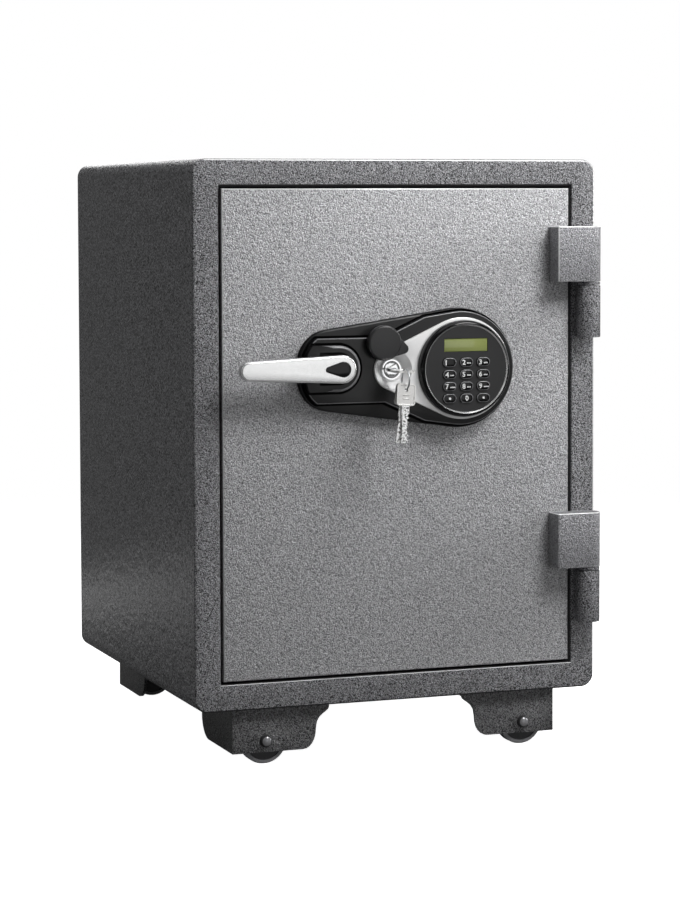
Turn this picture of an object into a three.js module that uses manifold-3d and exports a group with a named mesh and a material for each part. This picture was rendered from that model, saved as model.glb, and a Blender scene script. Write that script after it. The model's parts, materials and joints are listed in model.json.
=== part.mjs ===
// Fireproof safe: a steel cabinet with a fire-resistant fill and a plug door that turns on two
// lift-off hinges. The door carries an electronic keypad, a lever handle that throws three bolts,
// and an emergency key lock with its cover and keys. The cabinet stands on four small wheels.
//
// Millimetres, +Z up, and the door faces -Y. While the safe is built, X = 0 is the middle of the
// cabinet, Y = 0 its front face and Z = 0 its underside. The last lines move the origin to the
// middle of the ground under the safe. The pose is shut and unlocked, with the bolts drawn in.

import * as THREE from 'three';
import { mergeVertices } from 'three/addons/utils/BufferGeometryUtils.js';
import Module from 'manifold-3d';

const wasm = await Module();
wasm.setup();

// Clearances
const SEAT_GAP = 0.3; // between two pieces that touch
const RUNNING_GAP = 0.4; // round a pin, a shaft or a sliding piece
const DOOR_GAP = 2.4; // between the door's edge and the rim
const THROAT_GAP = 4; // between the widest part of the door's plug and the frame's throat
const BOLT_HOLE_GAP = 1.2; // round a bolt in the frame
const CRANK_SLOT_GAP = 0.5; // on each side of the crank's pin

// Cabinet
const BODY_WIDTH = 412;
const BODY_HEIGHT = 520;
const BODY_DEPTH = 420;
const BODY_CORNER_RADIUS = 13;
const FRONT_EDGE_BEVEL = 2;
const SHELL_WALL = 2.5;
const RIM_WIDTH = 26;
const LAND_WIDTH = 23; // ledge inside the opening, which the door's step closes against
const FRAME_WALL = 2.5;
const THROAT_PAST_PLUG = 4; // how far the throat runs on behind the door's plug
const LINER_WALL = 2;
const BACK_FILL = 48; // from the liner's back to the outer back face
const BACK_PLATE_WALL = 2.5;
const BACK_PLATE_INSET = 1.5;

// Shelf
const SHELF_HEIGHT = 212; // top of the shelf above the floor of the interior
const SHELF_SHEET = 1.5;
const SHELF_LIP = 12;
const SHELF_SIDE_GAP = 1.5;
const SHELF_SETBACK = 28; // from the front of the liner to the front of the shelf
const LEDGE_REACH = 7;
const LEDGE_THICKNESS = 5;

// Door
const DOOR_SKIN = 2.5;
const STEP_DEPTH = 20; // depth of the wide outer part of the door
const PLUG_DEPTH = 50; // depth of the narrower part behind it
const PLUG_TAPER = 6; // how much narrower each side of the plug is at its back
const PAN_WALL = 1.5;
const SEAL_WIDTH = 8;
const SEAL_THICKNESS = 2;
const SEAL_SQUEEZE_GAP = 0.5;
const SEAL_INSET = 5;
const DOOR_FILL_DEPTH = 45; // from the door's face to the space for the bolts

// Hinges
const BARREL_RADIUS = 11.2;
const HINGE_FROM_SIDE = 11.5; // from the cabinet's side to the hinge axis
const HINGE_PROUD = 11.5; // from the cabinet's face to the hinge axis
const HINGE_FROM_TOP = 122; // from the top to where the upper hinge parts
const HINGE_FROM_BOTTOM = 118.5; // from the underside to where the lower hinge parts
const LEAF_HEIGHT = 53.6;
const LEAF_ON_DOOR = 20.8; // how far a leaf reaches over the door's face
const LEAF_EDGE_RADIUS = 1.5;
const KNUCKLE_FOOT_INSET = 3; // how much narrower a knuckle's foot is than its barrel, each side
const KNUCKLE_HEIGHT = 51;
const KNUCKLE_GAP = 0.6;
const COLLAR_RADIUS = 10.9; // collar that the leaf turns on, between it and the knuckle
const COLLAR_HEIGHT = 3.4;
const PIN_RADIUS = 5;
const PIN_HEIGHT = 42;

// Wheels and their brackets
const CASTER_FROM_SIDE = 39.6;
const CASTER_FROM_FACE = 10;
const BRACKET_WIDTH = 97.4;
const BRACKET_DEPTH = 98;
const BRACKET_DROP = 43;
const BRACKET_WALL = 3;
const BRACKET_CORNER_RADIUS = 22;
const BRACKET_END_HEIGHT = 3.4; // straight edge at the top of the front plate's inner end
const BRACKET_WAIST_IN = 13.4; // from the inner end in to the waist of the double curve
const BRACKET_WAIST_DROP = 23;
const BRACKET_TOE_IN = 13.4; // from the waist in to where the lower edge starts
const FORK_HALF_WIDTH = 12.4;
const AXLE_FROM_EDGE = 33;
const AXLE_DROP = 32;
const AXLE_RADIUS = 4;
const AXLE_HEAD_RADIUS = 6.2;
const AXLE_HEAD_HEIGHT = 4.6;
const AXLE_HEAD_TOP_RADIUS = 3.7;
const AXLE_PAST_FORK = 3;
const AXLE_COLLAR_RADIUS = 9.8;
const AXLE_COLLAR_HEIGHT = 0.8;
const WHEEL_RADIUS = 23;
const WHEEL_WIDTH = 12;
const WHEEL_SIDE_GAP = 1;
const WHEEL_EDGE_RADIUS = 2;

// Lock plate, trim and keypad
const LOCK_RISE = 60; // from the middle of the cabinet up to the line of the locks
const KEYPAD_X = 58;
const LOCK_X = -12.6;
const HANDLE_X = -69;
const HANDLE_RISE = 2.5; // from the line of the locks up to the lever's pivot
const BEZEL_RADIUS = 46.4;
const BEZEL_FRONT = 28.2;
const FACE_RADIUS = 41.3;
const FACE_FRONT = 26.8;
const FACE_THICKNESS = 3;
const FACE_LEDGE = 1.6;
const BEZEL_LIP = 1.2;
const BEZEL_ROUND_DEPTH = 6;
const TRIM_BORDER = 2.4;
const TRIM_LOCK_RADIUS = 19.5;
const TRIM_THICKNESS = 3.2;
const TRIM_BEVEL = 1.2;
const DISH_RADIUS = 18.2; // round dish in the trim that the key lock sits in
const DISH_FLOOR_RADIUS = 11.8;
const DISH_DEPTH = 9;
const DISH_WALL = 1;
const PLATE_BORDER = 8.7;
const PLATE_END_X = -72;
const PLATE_END_RADIUS = 32;
const PLATE_END_SPREAD = 7;
const PLATE_SKIRT = 9; // height of the outer level of the lock plate
const PLATE_SKIRT_BEVEL = 3;
const PLATE_LEVEL = 15; // height of the inner level
const PLATE_LEVEL_BEVEL = 1.5;
const PLATE_LEVEL_INSET = 3;
const PLATE_LEVEL_HALF_HEIGHT = 31;
const PLATE_LEVEL_BORDER = 12;
const BOSS_RADIUS = 22;
const BOSS_LENGTH = 34;
const BOSS_FLAT = 6; // from the lever's pivot back to where the boss's front starts to slope
const BOSS_SLOPE_DEPTH = 7; // how much lower the boss is at its far end
const BOSS_INSET = 4; // from the edge of the plate to the far end of the boss
const BOSS_FRONT = 21;
const BOSS_BEVEL = 2;

// Keys of the keypad and the display
const KEY_WIDTH = 13.4;
const KEY_HEIGHT = 8.8;
const KEY_PITCH_X = 17.35;
const KEY_PITCH_Z = 11.47;
const KEY_FIRST_ROW = 6.3; // from the keypad's centre up to the first row
const KEY_PROUD = 1.8;
const KEY_BEHIND = 1.4;
const KEY_BEVEL = 0.7;
const DISPLAY_WIDTH = 44.4;
const DISPLAY_HEIGHT = 12.3;
const DISPLAY_RISE = 22.7;
const DISPLAY_INSET = 0.6;
const BOARD_THICKNESS = 1.6;
const WIRE_HOLE_RADIUS = 5;

// Lever and bolt work
const LEVER_REACH = 92; // from the pivot to the middle of the rounded tip
const LEVER_ROOT_RADIUS = 13.4;
const LEVER_TIP_RADIUS = 9.2;
const LEVER_BACK = 24.5;
const LEVER_THICKNESS = 9;
const LEVER_BEVEL = 1.5;
const LEVER_HUB_RADIUS = 11;
const INLAY_RADIUS = 7.3;
const INLAY_TIP_RADIUS = 2.6;
const INLAY_REACH = 15;
const INLAY_DEPTH = 2;
const SPINDLE_RADIUS = 6;
const CRANK_RADIUS = 16;
const CRANK_ANGLE = 30; // degrees from straight down to the pin, when the bolts are drawn in
const CRANK_PIN_RADIUS = 3;
const CRANK_HUB_RADIUS = 9;
const CRANK_EYE_RADIUS = 6;
const CRANK_PIN_PAST_ARM = 3;
const CRANK_THICKNESS = 3.5;
const CRANK_FRONT = 47;
const BOLT_RADIUS = 9;
const BOLT_LENGTH = 30;
const BOLT_TIP_BEVEL = 1.5;
const BOLT_SPACING = 130;
const BOLT_THROW = CRANK_RADIUS; // 30 degrees each side of straight down moves the pin by its radius
const BOLT_DRAWN_IN = 1.7; // from the plug's widest side in to the bolts' tips, past the taper
const BOLT_FROM_PLUG_BACK = 14;
const CARRIAGE_WALL = 4;
const CARRIAGE_ARM_FRONT = 52;
const CARRIAGE_ARM_WALL = 3;
const CARRIAGE_ARM_HEIGHT = 34;
const CARRIAGE_ARM_PAST_SLOT = 7;
const CARRIAGE_END = 16; // from the outer bolts' middle to the ends of the bar

// Key lock
const CYLINDER_FLANGE_RADIUS = 10.2;
const CYLINDER_FLANGE = 2.4;
const CYLINDER_RADIUS = 9.2;
const CYLINDER_BACK = 34;
const PLUG_RADIUS = 7.8;
const PLUG_PROUD = 0.8;
const KEYWAY_DEPTH = 31;
const TAIL_RADIUS = 3;
const TAIL_BACK = 50;
const TAIL_CAM_REACH = 11;
const TAIL_CAM_HUB_RADIUS = 6;
const BLADE_LENGTH = 35.4;
const BLADE_WIDTH = 7.6;
const BLADE_TIP_BEVEL = 2;
const BLADE_IN_BOW = 1; // how far the blade runs into the bow
const BLADE_OUTSIDE = 17; // length of the inserted key's blade that shows before its bow
const BOW_WIDTH = 18.8;
const BOW_LENGTH = 20.4;
const BOW_CORNER_RADIUS = 3;
const KEY_PLATE = 2;
const BOW_HOLE_RADIUS = 3.8;
const BOW_WEB = 4; // between the hole and the end of the bow
const RING_RADIUS = 9.6;
const RING_WIRE_RADIUS = 0.8;
const RING_LIFT = 0.8; // the turning room between the ring's wire and the inserted key
const SPARE_KEY_GAP = 0.6;
const SPARE_KEY_TILT = 3; // degrees that the front spare key leans
const REAR_KEY_TILT = 8;
const COVER_RADIUS = 16.8;
const COVER_REACH = 21; // from the pivot to the middle of the round cover
const COVER_OPEN_ANGLE = 163.5; // degrees from +X to the cover, seen from the front
const COVER_PIVOT_SHIFT = 8.6; // from the key lock sideways to the pivot
const COVER_PIVOT_RISE = 20;
const COVER_LUG_RADIUS = 5;
const COVER_THICKNESS = 6.6;
const COVER_LIFT = 0.7; // from the trim to the back of the cover
const COVER_BEVEL = 1.2;
const COVER_SPACER_RADIUS = 3.5;

// Parts of the lock inside the door
const SOLENOID_WIDTH = 34;
const SOLENOID_HEIGHT = 26;
const SOLENOID_DEPTH = 16;
const SOLENOID_DROP = 34;
const PLUNGER_RADIUS = 4;
const PLUNGER_LENGTH = 7;
const BATTERY_BOX_WIDTH = 66;
const BATTERY_BOX_HEIGHT = 112;
const BATTERY_BOX_DEPTH = 15;
const BATTERY_BOX_CORNER_RADIUS = 5;
const BATTERY_BOX_BEVEL = 2;

// Number of straight steps that stand for a full circle
const FINE_STEPS = 32;
const COARSE_STEPS = 20;
const SMALL_STEPS = 12;
const CURVE_STEPS = 6; // straight steps in one stretch of a curve
const BEYOND = 5; // how far a cutting piece runs past what it cuts

// Places that several pieces share
const MIDDLE_Z = BODY_HEIGHT / 2;
const OPENING_X = BODY_WIDTH / 2 - RIM_WIDTH;
const OPENING_Z = BODY_HEIGHT / 2 - RIM_WIDTH;
const THROAT_X = OPENING_X - LAND_WIDTH;
const THROAT_Z = OPENING_Z - LAND_WIDTH;
const DOOR_X = OPENING_X - DOOR_GAP;
const DOOR_Z = OPENING_Z - DOOR_GAP;
const PLUG_X = THROAT_X - THROAT_GAP;
const PLUG_Z = THROAT_Z - THROAT_GAP;
const FLANGE_Y = STEP_DEPTH + SEAT_GAP + PAN_WALL;
const LAND_Y = FLANGE_Y + SEAT_GAP + SEAL_THICKNESS + SEAL_SQUEEZE_GAP;
const PLUG_BACK_Y = STEP_DEPTH + PLUG_DEPTH;
const THROAT_BACK_Y = PLUG_BACK_Y + THROAT_PAST_PLUG;
const LINER_FRONT_Y = THROAT_BACK_Y + SEAT_GAP;
const LINER_BACK_Y = BODY_DEPTH - BACK_FILL;
const LINER_X = THROAT_X - LINER_WALL;
const LINER_Z = THROAT_Z - LINER_WALL;
const HINGE_X = BODY_WIDTH / 2 - HINGE_FROM_SIDE;
const HINGE_Y = -HINGE_PROUD;
const UPPER_SPLIT_Z = BODY_HEIGHT - HINGE_FROM_TOP;
const LOWER_SPLIT_Z = HINGE_FROM_BOTTOM;
const LOCK_Z = MIDDLE_Z + LOCK_RISE;
const HANDLE_Z = LOCK_Z + HANDLE_RISE;
const TRIM_RADIUS = BEZEL_RADIUS + TRIM_BORDER;
const TRIM_FRONT = PLATE_LEVEL + SEAT_GAP + TRIM_THICKNESS;
const BOLT_Y = PLUG_BACK_Y - BOLT_FROM_PLUG_BACK;
const BOLT_TIP_X = -(PLUG_X - PLUG_TAPER) + BOLT_DRAWN_IN - SEAT_GAP;
const CARRIAGE_X = BOLT_TIP_X + BOLT_LENGTH + SEAT_GAP;
const CYLINDER_SEAT = TRIM_FRONT - DISH_DEPTH + SEAT_GAP;
const CYLINDER_FRONT = CYLINDER_SEAT + CYLINDER_FLANGE;
const BOW_START = CYLINDER_FRONT + PLUG_PROUD + BLADE_OUTSIDE;
const BOW_END = BOW_START + BOW_LENGTH;
const RING_Z = LOCK_Z + KEY_PLATE / 2 + RING_LIFT + RING_WIRE_RADIUS - RING_RADIUS;
const RING_Y = -(BOW_END - BOW_WEB / 2);
const COVER_BACK = TRIM_FRONT + COVER_LIFT;
const COVER_PIVOT_X = LOCK_X + COVER_PIVOT_SHIFT;
const COVER_PIVOT_Z = LOCK_Z + COVER_PIVOT_RISE;

// Finishes
const FINISHES = {
  darkPaint: { color: 0x4c4d4f, roughness: 0.55, metalness: 0.25 },
  lightPaint: { color: 0x7e7f81, roughness: 0.55, metalness: 0.25 },
  innerPaint: { color: 0xc9c8c2, roughness: 0.7, metalness: 0.0 },
  bareSteel: { color: 0xa9abad, roughness: 0.35, metalness: 1.0 },
  chrome: { color: 0xd8dadc, roughness: 0.12, metalness: 1.0 },
  satinChrome: { color: 0xd2d3d5, roughness: 0.3, metalness: 1.0 },
  mattBlack: { color: 0x26272a, roughness: 0.6, metalness: 0.0 },
  glossBlack: { color: 0x0b0b0c, roughness: 0.15, metalness: 0.0 },
  display: { color: 0x8b9454, roughness: 0.2, metalness: 0.0 },
  fireFill: { color: 0xd9d4c6, roughness: 0.95, metalness: 0.0 },
  seal: { color: 0x1c1c1d, roughness: 0.9, metalness: 0.0 },
  board: { color: 0x1f5a35, roughness: 0.6, metalness: 0.0 },
};

// The solid that a closed geometry bounds.
function solid(geometry) {
  geometry.deleteAttribute('normal');
  geometry.deleteAttribute('uv');
  const merged = mergeVertices(geometry, 1e-4);
  return new wasm.Manifold(new wasm.Mesh({
    numProp: 3,
    vertProperties: merged.attributes.position.array,
    triVerts: new Uint32Array(merged.index.array),
  }));
}

function joined(first, ...others) {
  return others.reduce((whole, other) => whole.add(other), first);
}

function cut(first, ...others) {
  return others.reduce((whole, other) => whole.subtract(other), first);
}

// A box from one corner to the other, each given as [x, y, z].
function block(from, to) {
  const [x, y, z] = from.map((value, i) => (value + to[i]) / 2);
  const size = from.map((value, i) => Math.abs(to[i] - value));
  return solid(new THREE.BoxGeometry(...size).translate(x, y, z));
}

// A box centred on the cabinet's front view, with its half width and half height.
function doorBlock(halfX, halfZ, fromY, toY) {
  return block([-halfX, fromY, MIDDLE_Z - halfZ], [halfX, toY, MIDDLE_Z + halfZ]);
}

// A door block whose sides draw in by `taper` on its way to `toY`.
function taperedDoorBlock(halfX, halfZ, fromY, toY, taper) {
  const geometry = new THREE.BoxGeometry(2 * halfX, toY - fromY, 2 * halfZ);
  const position = geometry.attributes.position;
  for (let i = 0; i < position.count; i += 1) {
    if (position.getY(i) > 0) position.setX(i, Math.sign(position.getX(i)) * (halfX - taper));
  }
  return solid(geometry.translate(0, (fromY + toY) / 2, MIDDLE_Z));
}

// A round bar along Y, X or Z.
function barY(radius, x, z, fromY, toY, steps = COARSE_STEPS) {
  const geometry = new THREE.CylinderGeometry(radius, radius, toY - fromY, steps);
  return solid(geometry.translate(x, (fromY + toY) / 2, z));
}

function barX(radius, y, z, fromX, toX, steps = COARSE_STEPS) {
  const geometry = new THREE.CylinderGeometry(radius, radius, toX - fromX, steps);
  return solid(geometry.rotateZ(Math.PI / 2).translate((fromX + toX) / 2, y, z));
}

function barZ(radius, x, y, fromZ, toZ, steps = COARSE_STEPS) {
  const geometry = new THREE.CylinderGeometry(radius, radius, toZ - fromZ, steps);
  return solid(geometry.rotateX(Math.PI / 2).translate(x, y, (fromZ + toZ) / 2));
}

// A profile of [radius, y] points turned about an axis along Y. The last point meets the first.
function turnedY(profile, x, z, steps) {
  const points = [...profile, profile[0]].map(([radius, y]) => new THREE.Vector2(radius, y));
  const geometry = new THREE.LatheGeometry(points, steps, Math.PI / steps);
  return solid(geometry.translate(x, 0, z));
}

// The smallest outline that holds all the given circles, each as [centre u, centre v, radius].
function outlineRound(circles, steps = FINE_STEPS) {
  const points = circles.flatMap(([u, v, radius]) => Array.from({ length: steps }, (_, i) => {
    const angle = (2 * Math.PI * i) / steps;
    return new THREE.Vector2(u + radius * Math.cos(angle), v + radius * Math.sin(angle));
  }));
  const turns = (a, b, c) => (b.x - a.x) * (c.y - a.y) - (b.y - a.y) * (c.x - a.x);
  const side = (sorted) => {
    const chain = [];
    for (const point of sorted) {
      while (chain.length > 1 && turns(chain.at(-2), chain.at(-1), point) < 1e-6) chain.pop();
      chain.push(point);
    }
    return chain.slice(0, -1);
  };
  points.sort((a, b) => a.x - b.x || a.y - b.y);
  return new THREE.Shape([...side(points), ...side(points.reverse())]);
}

// A rectangle with round corners.
function outlineBox(u, v, width, height, radius, steps = FINE_STEPS) {
  const du = width / 2 - radius;
  const dv = height / 2 - radius;
  const corners = [[u - du, v - dv, radius], [u + du, v - dv, radius], [u - du, v + dv, radius],
    [u + du, v + dv, radius]];
  return outlineRound(corners, steps);
}

// An outline in X and Z made solid from frontY to backY, with a bevel round its front edge.
function slabY(outline, frontY, backY, bevel = 0) {
  const geometry = new THREE.ExtrudeGeometry(outline, {
    curveSegments: CURVE_STEPS,
    depth: backY - frontY - bevel,
    bevelEnabled: bevel > 0,
    bevelThickness: bevel,
    bevelSize: bevel,
    bevelOffset: -bevel,
    bevelSegments: 1,
  });
  const whole = solid(geometry.rotateX(Math.PI / 2).translate(0, backY, 0));
  if (bevel === 0) return whole;
  const reach = BODY_HEIGHT + BODY_WIDTH;
  return cut(whole, block([-reach, backY, -reach], [reach, backY + bevel + BEYOND, reach]));
}

// An outline in Y and Z made solid from fromX to toX.
function slabX(outline, fromX, toX) {
  const options = { curveSegments: CURVE_STEPS, depth: toX - fromX, bevelEnabled: false };
  const geometry = new THREE.ExtrudeGeometry(outline, options);
  return solid(geometry.rotateX(Math.PI / 2).rotateZ(Math.PI / 2).translate(fromX, 0, 0));
}

// An outline in X and Y made solid from fromZ to toZ.
function slabZ(outline, fromZ, toZ) {
  const geometry = new THREE.ExtrudeGeometry(outline, { depth: toZ - fromZ, bevelEnabled: false });
  return solid(geometry.translate(0, 0, fromZ));
}

// A named mesh of a solid, in one of the finishes, with its place and its turns in degrees.
function part(name, shape, finish, place = [0, 0, 0], turns = [0, 0, 0]) {
  const made = shape.getMesh();
  const geometry = new THREE.BufferGeometry();
  geometry.setAttribute('position', new THREE.BufferAttribute(made.vertProperties, 3));
  geometry.setIndex(new THREE.BufferAttribute(made.triVerts, 1));
  geometry.computeVertexNormals();
  const mesh = new THREE.Mesh(geometry, new THREE.MeshStandardMaterial(FINISHES[finish]));
  mesh.name = name;
  mesh.position.set(...place);
  mesh.rotation.set(...turns.map(THREE.MathUtils.degToRad));
  return mesh;
}

function boltHeights() {
  return [-1, 0, 1].map((i) => MIDDLE_Z + i * BOLT_SPACING);
}

// Cabinet

function bodyShell() {
  const inner = outlineBox(0, MIDDLE_Z, BODY_WIDTH - 2 * SHELL_WALL, BODY_HEIGHT - 2 * SHELL_WALL,
    BODY_CORNER_RADIUS - SHELL_WALL);
  return cut(
    slabY(outlineBox(0, MIDDLE_Z, BODY_WIDTH, BODY_HEIGHT, BODY_CORNER_RADIUS), 0, BODY_DEPTH,
      FRONT_EDGE_BEVEL),
    slabY(inner, SHELL_WALL, BODY_DEPTH + BEYOND),
    doorBlock(OPENING_X, OPENING_Z, -BEYOND, SHELL_WALL + BEYOND),
  );
}

function frontFrame() {
  const cup = doorBlock(OPENING_X + FRAME_WALL, OPENING_Z + FRAME_WALL, SHELL_WALL + SEAT_GAP,
    LAND_Y + FRAME_WALL);
  const throat = doorBlock(THROAT_X + FRAME_WALL, THROAT_Z + FRAME_WALL, LAND_Y, THROAT_BACK_Y);
  const holes = boltHeights().map((z) => barX(BOLT_RADIUS + BOLT_HOLE_GAP, BOLT_Y, z,
    -THROAT_X - FRAME_WALL - BEYOND, -THROAT_X + BEYOND));
  return cut(
    joined(cup, throat),
    doorBlock(OPENING_X, OPENING_Z, 0, LAND_Y),
    doorBlock(THROAT_X, THROAT_Z, 0, THROAT_BACK_Y + BEYOND),
    ...holes,
  );
}

function innerLiner() {
  const outer = doorBlock(THROAT_X, THROAT_Z, LINER_FRONT_Y, LINER_BACK_Y + LINER_WALL);
  const space = doorBlock(LINER_X, LINER_Z, LINER_FRONT_Y - BEYOND, LINER_BACK_Y);
  const top = MIDDLE_Z - LINER_Z + SHELF_HEIGHT - SHELF_SHEET - SEAT_GAP;
  const ledges = [-1, 1].map((side) => block(
    [side * (LINER_X - LEDGE_REACH), LINER_FRONT_Y, top - LEDGE_THICKNESS],
    [side * (LINER_X + LINER_WALL / 2), LINER_BACK_Y + LINER_WALL / 2, top],
  ));
  return joined(cut(outer, space), ...ledges);
}

function bodyInsulation() {
  const wall = SHELL_WALL + SEAT_GAP;
  const back = BODY_DEPTH - BACK_PLATE_INSET - BACK_PLATE_WALL - SEAT_GAP;
  const outline = outlineBox(0, MIDDLE_Z, BODY_WIDTH - 2 * wall, BODY_HEIGHT - 2 * wall,
    BODY_CORNER_RADIUS - wall);
  const grown = FRAME_WALL + SEAT_GAP;
  const pockets = boltHeights().map((z) => barX(BOLT_RADIUS + BOLT_HOLE_GAP, BOLT_Y, z,
    BOLT_TIP_X - BOLT_THROW - BEYOND, -THROAT_X));
  return cut(
    slabY(outline, wall, back),
    doorBlock(OPENING_X + grown, OPENING_Z + grown, 0, LAND_Y + grown),
    doorBlock(THROAT_X + grown, THROAT_Z + grown, 0, THROAT_BACK_Y + SEAT_GAP),
    doorBlock(THROAT_X + SEAT_GAP, THROAT_Z + SEAT_GAP, 0, LINER_BACK_Y + LINER_WALL + SEAT_GAP),
    ...pockets,
  );
}

function backPlate() {
  const wall = SHELL_WALL + SEAT_GAP;
  const outline = outlineBox(0, MIDDLE_Z, BODY_WIDTH - 2 * wall, BODY_HEIGHT - 2 * wall,
    BODY_CORNER_RADIUS - wall);
  const back = BODY_DEPTH - BACK_PLATE_INSET;
  return slabY(outline, back - BACK_PLATE_WALL, back);
}

function shelf() {
  const halfX = LINER_X - SHELF_SIDE_GAP;
  const front = LINER_FRONT_Y + SHELF_SETBACK;
  const back = LINER_BACK_Y - SHELF_SIDE_GAP;
  const top = MIDDLE_Z - LINER_Z + SHELF_HEIGHT;
  const lipX = LINER_X - LEDGE_REACH - SHELF_SIDE_GAP;
  return joined(
    block([-halfX, front, top - SHELF_SHEET], [halfX, back, top]),
    block([-lipX, front, top - SHELF_LIP], [lipX, front + SHELF_SHEET, top]),
  );
}

// Lower half of a hinge: a knuckle with a foot on the rim, and its collar and pin above it.
function hingeKnuckle(splitZ) {
  const footX = BARREL_RADIUS - KNUCKLE_FOOT_INSET;
  const footY = -SEAT_GAP - LEAF_EDGE_RADIUS;
  const outline = outlineRound([[HINGE_X, HINGE_Y, BARREL_RADIUS],
    [HINGE_X - footX, footY, LEAF_EDGE_RADIUS], [HINGE_X + footX, footY, LEAF_EDGE_RADIUS]]);
  const top = splitZ - KNUCKLE_GAP;
  return joined(
    slabZ(outline, splitZ - KNUCKLE_HEIGHT, top),
    barZ(COLLAR_RADIUS, HINGE_X, HINGE_Y, top - PIN_RADIUS, splitZ + COLLAR_HEIGHT - KNUCKLE_GAP),
    barZ(PIN_RADIUS, HINGE_X, HINGE_Y, top - PIN_RADIUS, splitZ + PIN_HEIGHT),
  );
}

// Upper half of a hinge: a thick leaf on the door's face, whose round end is bored for the pin.
function hingeLeaf(splitZ) {
  const left = DOOR_X - LEAF_ON_DOOR + LEAF_EDGE_RADIUS;
  const outline = outlineRound([[HINGE_X, HINGE_Y, BARREL_RADIUS],
    [left, HINGE_Y + BARREL_RADIUS - LEAF_EDGE_RADIUS, LEAF_EDGE_RADIUS],
    [left, HINGE_Y - BARREL_RADIUS + LEAF_EDGE_RADIUS, LEAF_EDGE_RADIUS]]);
  const bottom = splitZ + COLLAR_HEIGHT;
  const boreTop = splitZ + PIN_HEIGHT + RUNNING_GAP;
  return cut(
    slabZ(outline, bottom, bottom + LEAF_HEIGHT),
    barZ(PIN_RADIUS + RUNNING_GAP, HINGE_X, HINGE_Y, splitZ - BEYOND, boreTop),
  );
}

// Wheels. A bracket is built for the front right corner, with its outer edge and its face at the
// cabinet's side and front insets, and is mirrored for the others.

const BRACKET_EDGE_X = BODY_WIDTH / 2 - CASTER_FROM_SIDE;
const AXLE_X = BRACKET_EDGE_X - AXLE_FROM_EDGE;
const BRACKET_TOP = -SEAT_GAP;
const WHEEL_FRONT_Y = CASTER_FROM_FACE + BRACKET_WALL + WHEEL_SIDE_GAP;
const FORK_Y = WHEEL_FRONT_Y + WHEEL_WIDTH + WHEEL_SIDE_GAP;

// Front plate: straight at the outer edge, with a double curve up to its inner end.
function bracketOutline() {
  const end = BRACKET_EDGE_X - BRACKET_WIDTH;
  const waistX = end + BRACKET_WAIST_IN;
  const upper = (BRACKET_END_HEIGHT + BRACKET_WAIST_DROP) / 3;
  const lower = (BRACKET_WAIST_DROP + 2 * BRACKET_DROP) / 3;
  const shape = new THREE.Shape();
  shape.moveTo(BRACKET_EDGE_X, BRACKET_TOP);
  shape.lineTo(end, BRACKET_TOP);
  shape.lineTo(end, -BRACKET_END_HEIGHT);
  shape.bezierCurveTo(end, -upper, waistX, -upper, waistX, -BRACKET_WAIST_DROP);
  shape.bezierCurveTo(waistX, -lower, waistX + BRACKET_TOE_IN / 2, -BRACKET_DROP,
    waistX + BRACKET_TOE_IN, -BRACKET_DROP);
  shape.lineTo(BRACKET_EDGE_X, -BRACKET_DROP);
  return shape;
}

// Side plate: its lower corner away from the face is round.
function bracketSideOutline() {
  const back = CASTER_FROM_FACE + BRACKET_DEPTH;
  const radius = BRACKET_CORNER_RADIUS;
  const shape = new THREE.Shape();
  shape.moveTo(CASTER_FROM_FACE, -BRACKET_DROP);
  shape.lineTo(back - radius, -BRACKET_DROP);
  shape.absarc(back - radius, radius - BRACKET_DROP, radius, -Math.PI / 2, 0, false);
  shape.lineTo(back, BRACKET_TOP);
  shape.lineTo(CASTER_FROM_FACE, BRACKET_TOP);
  return shape;
}

function casterBracket() {
  const end = BRACKET_EDGE_X - BRACKET_WIDTH;
  return cut(
    joined(
      slabY(bracketOutline(), CASTER_FROM_FACE, CASTER_FROM_FACE + BRACKET_WALL),
      slabX(bracketSideOutline(), BRACKET_EDGE_X - BRACKET_WALL, BRACKET_EDGE_X),
      block([end, CASTER_FROM_FACE, BRACKET_TOP - BRACKET_WALL],
        [BRACKET_EDGE_X, CASTER_FROM_FACE + BRACKET_DEPTH, BRACKET_TOP]),
      block([AXLE_X - FORK_HALF_WIDTH, FORK_Y, -AXLE_DROP - AXLE_HEAD_RADIUS],
        [AXLE_X + FORK_HALF_WIDTH, FORK_Y + BRACKET_WALL, BRACKET_TOP]),
      barY(AXLE_COLLAR_RADIUS, AXLE_X, -AXLE_DROP, CASTER_FROM_FACE - AXLE_COLLAR_HEIGHT,
        CASTER_FROM_FACE + BRACKET_WALL / 2),
    ),
    barY(AXLE_RADIUS + SEAT_GAP, AXLE_X, -AXLE_DROP, 0, FORK_Y + BRACKET_DEPTH),
  );
}

function casterAxle() {
  const collar = CASTER_FROM_FACE - AXLE_COLLAR_HEIGHT - SEAT_GAP;
  const head = collar - AXLE_HEAD_HEIGHT;
  const back = FORK_Y + BRACKET_WALL + AXLE_PAST_FORK;
  return turnedY([
    [0, back],
    [0, head],
    [AXLE_HEAD_TOP_RADIUS, head],
    [AXLE_HEAD_RADIUS, head + AXLE_HEAD_HEIGHT / 2],
    [AXLE_HEAD_RADIUS, collar],
    [AXLE_RADIUS, collar],
    [AXLE_RADIUS, back],
  ], AXLE_X, -AXLE_DROP, COARSE_STEPS);
}

function casterWheel() {
  const bore = AXLE_RADIUS + RUNNING_GAP;
  const back = WHEEL_FRONT_Y + WHEEL_WIDTH;
  return turnedY([
    [bore, back],
    [bore, WHEEL_FRONT_Y],
    [WHEEL_RADIUS - WHEEL_EDGE_RADIUS, WHEEL_FRONT_Y],
    [WHEEL_RADIUS, WHEEL_FRONT_Y + WHEEL_EDGE_RADIUS],
    [WHEEL_RADIUS, back - WHEEL_EDGE_RADIUS],
    [WHEEL_RADIUS - WHEEL_EDGE_RADIUS, back],
  ], AXLE_X, -AXLE_DROP, FINE_STEPS);
}

// Door

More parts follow.
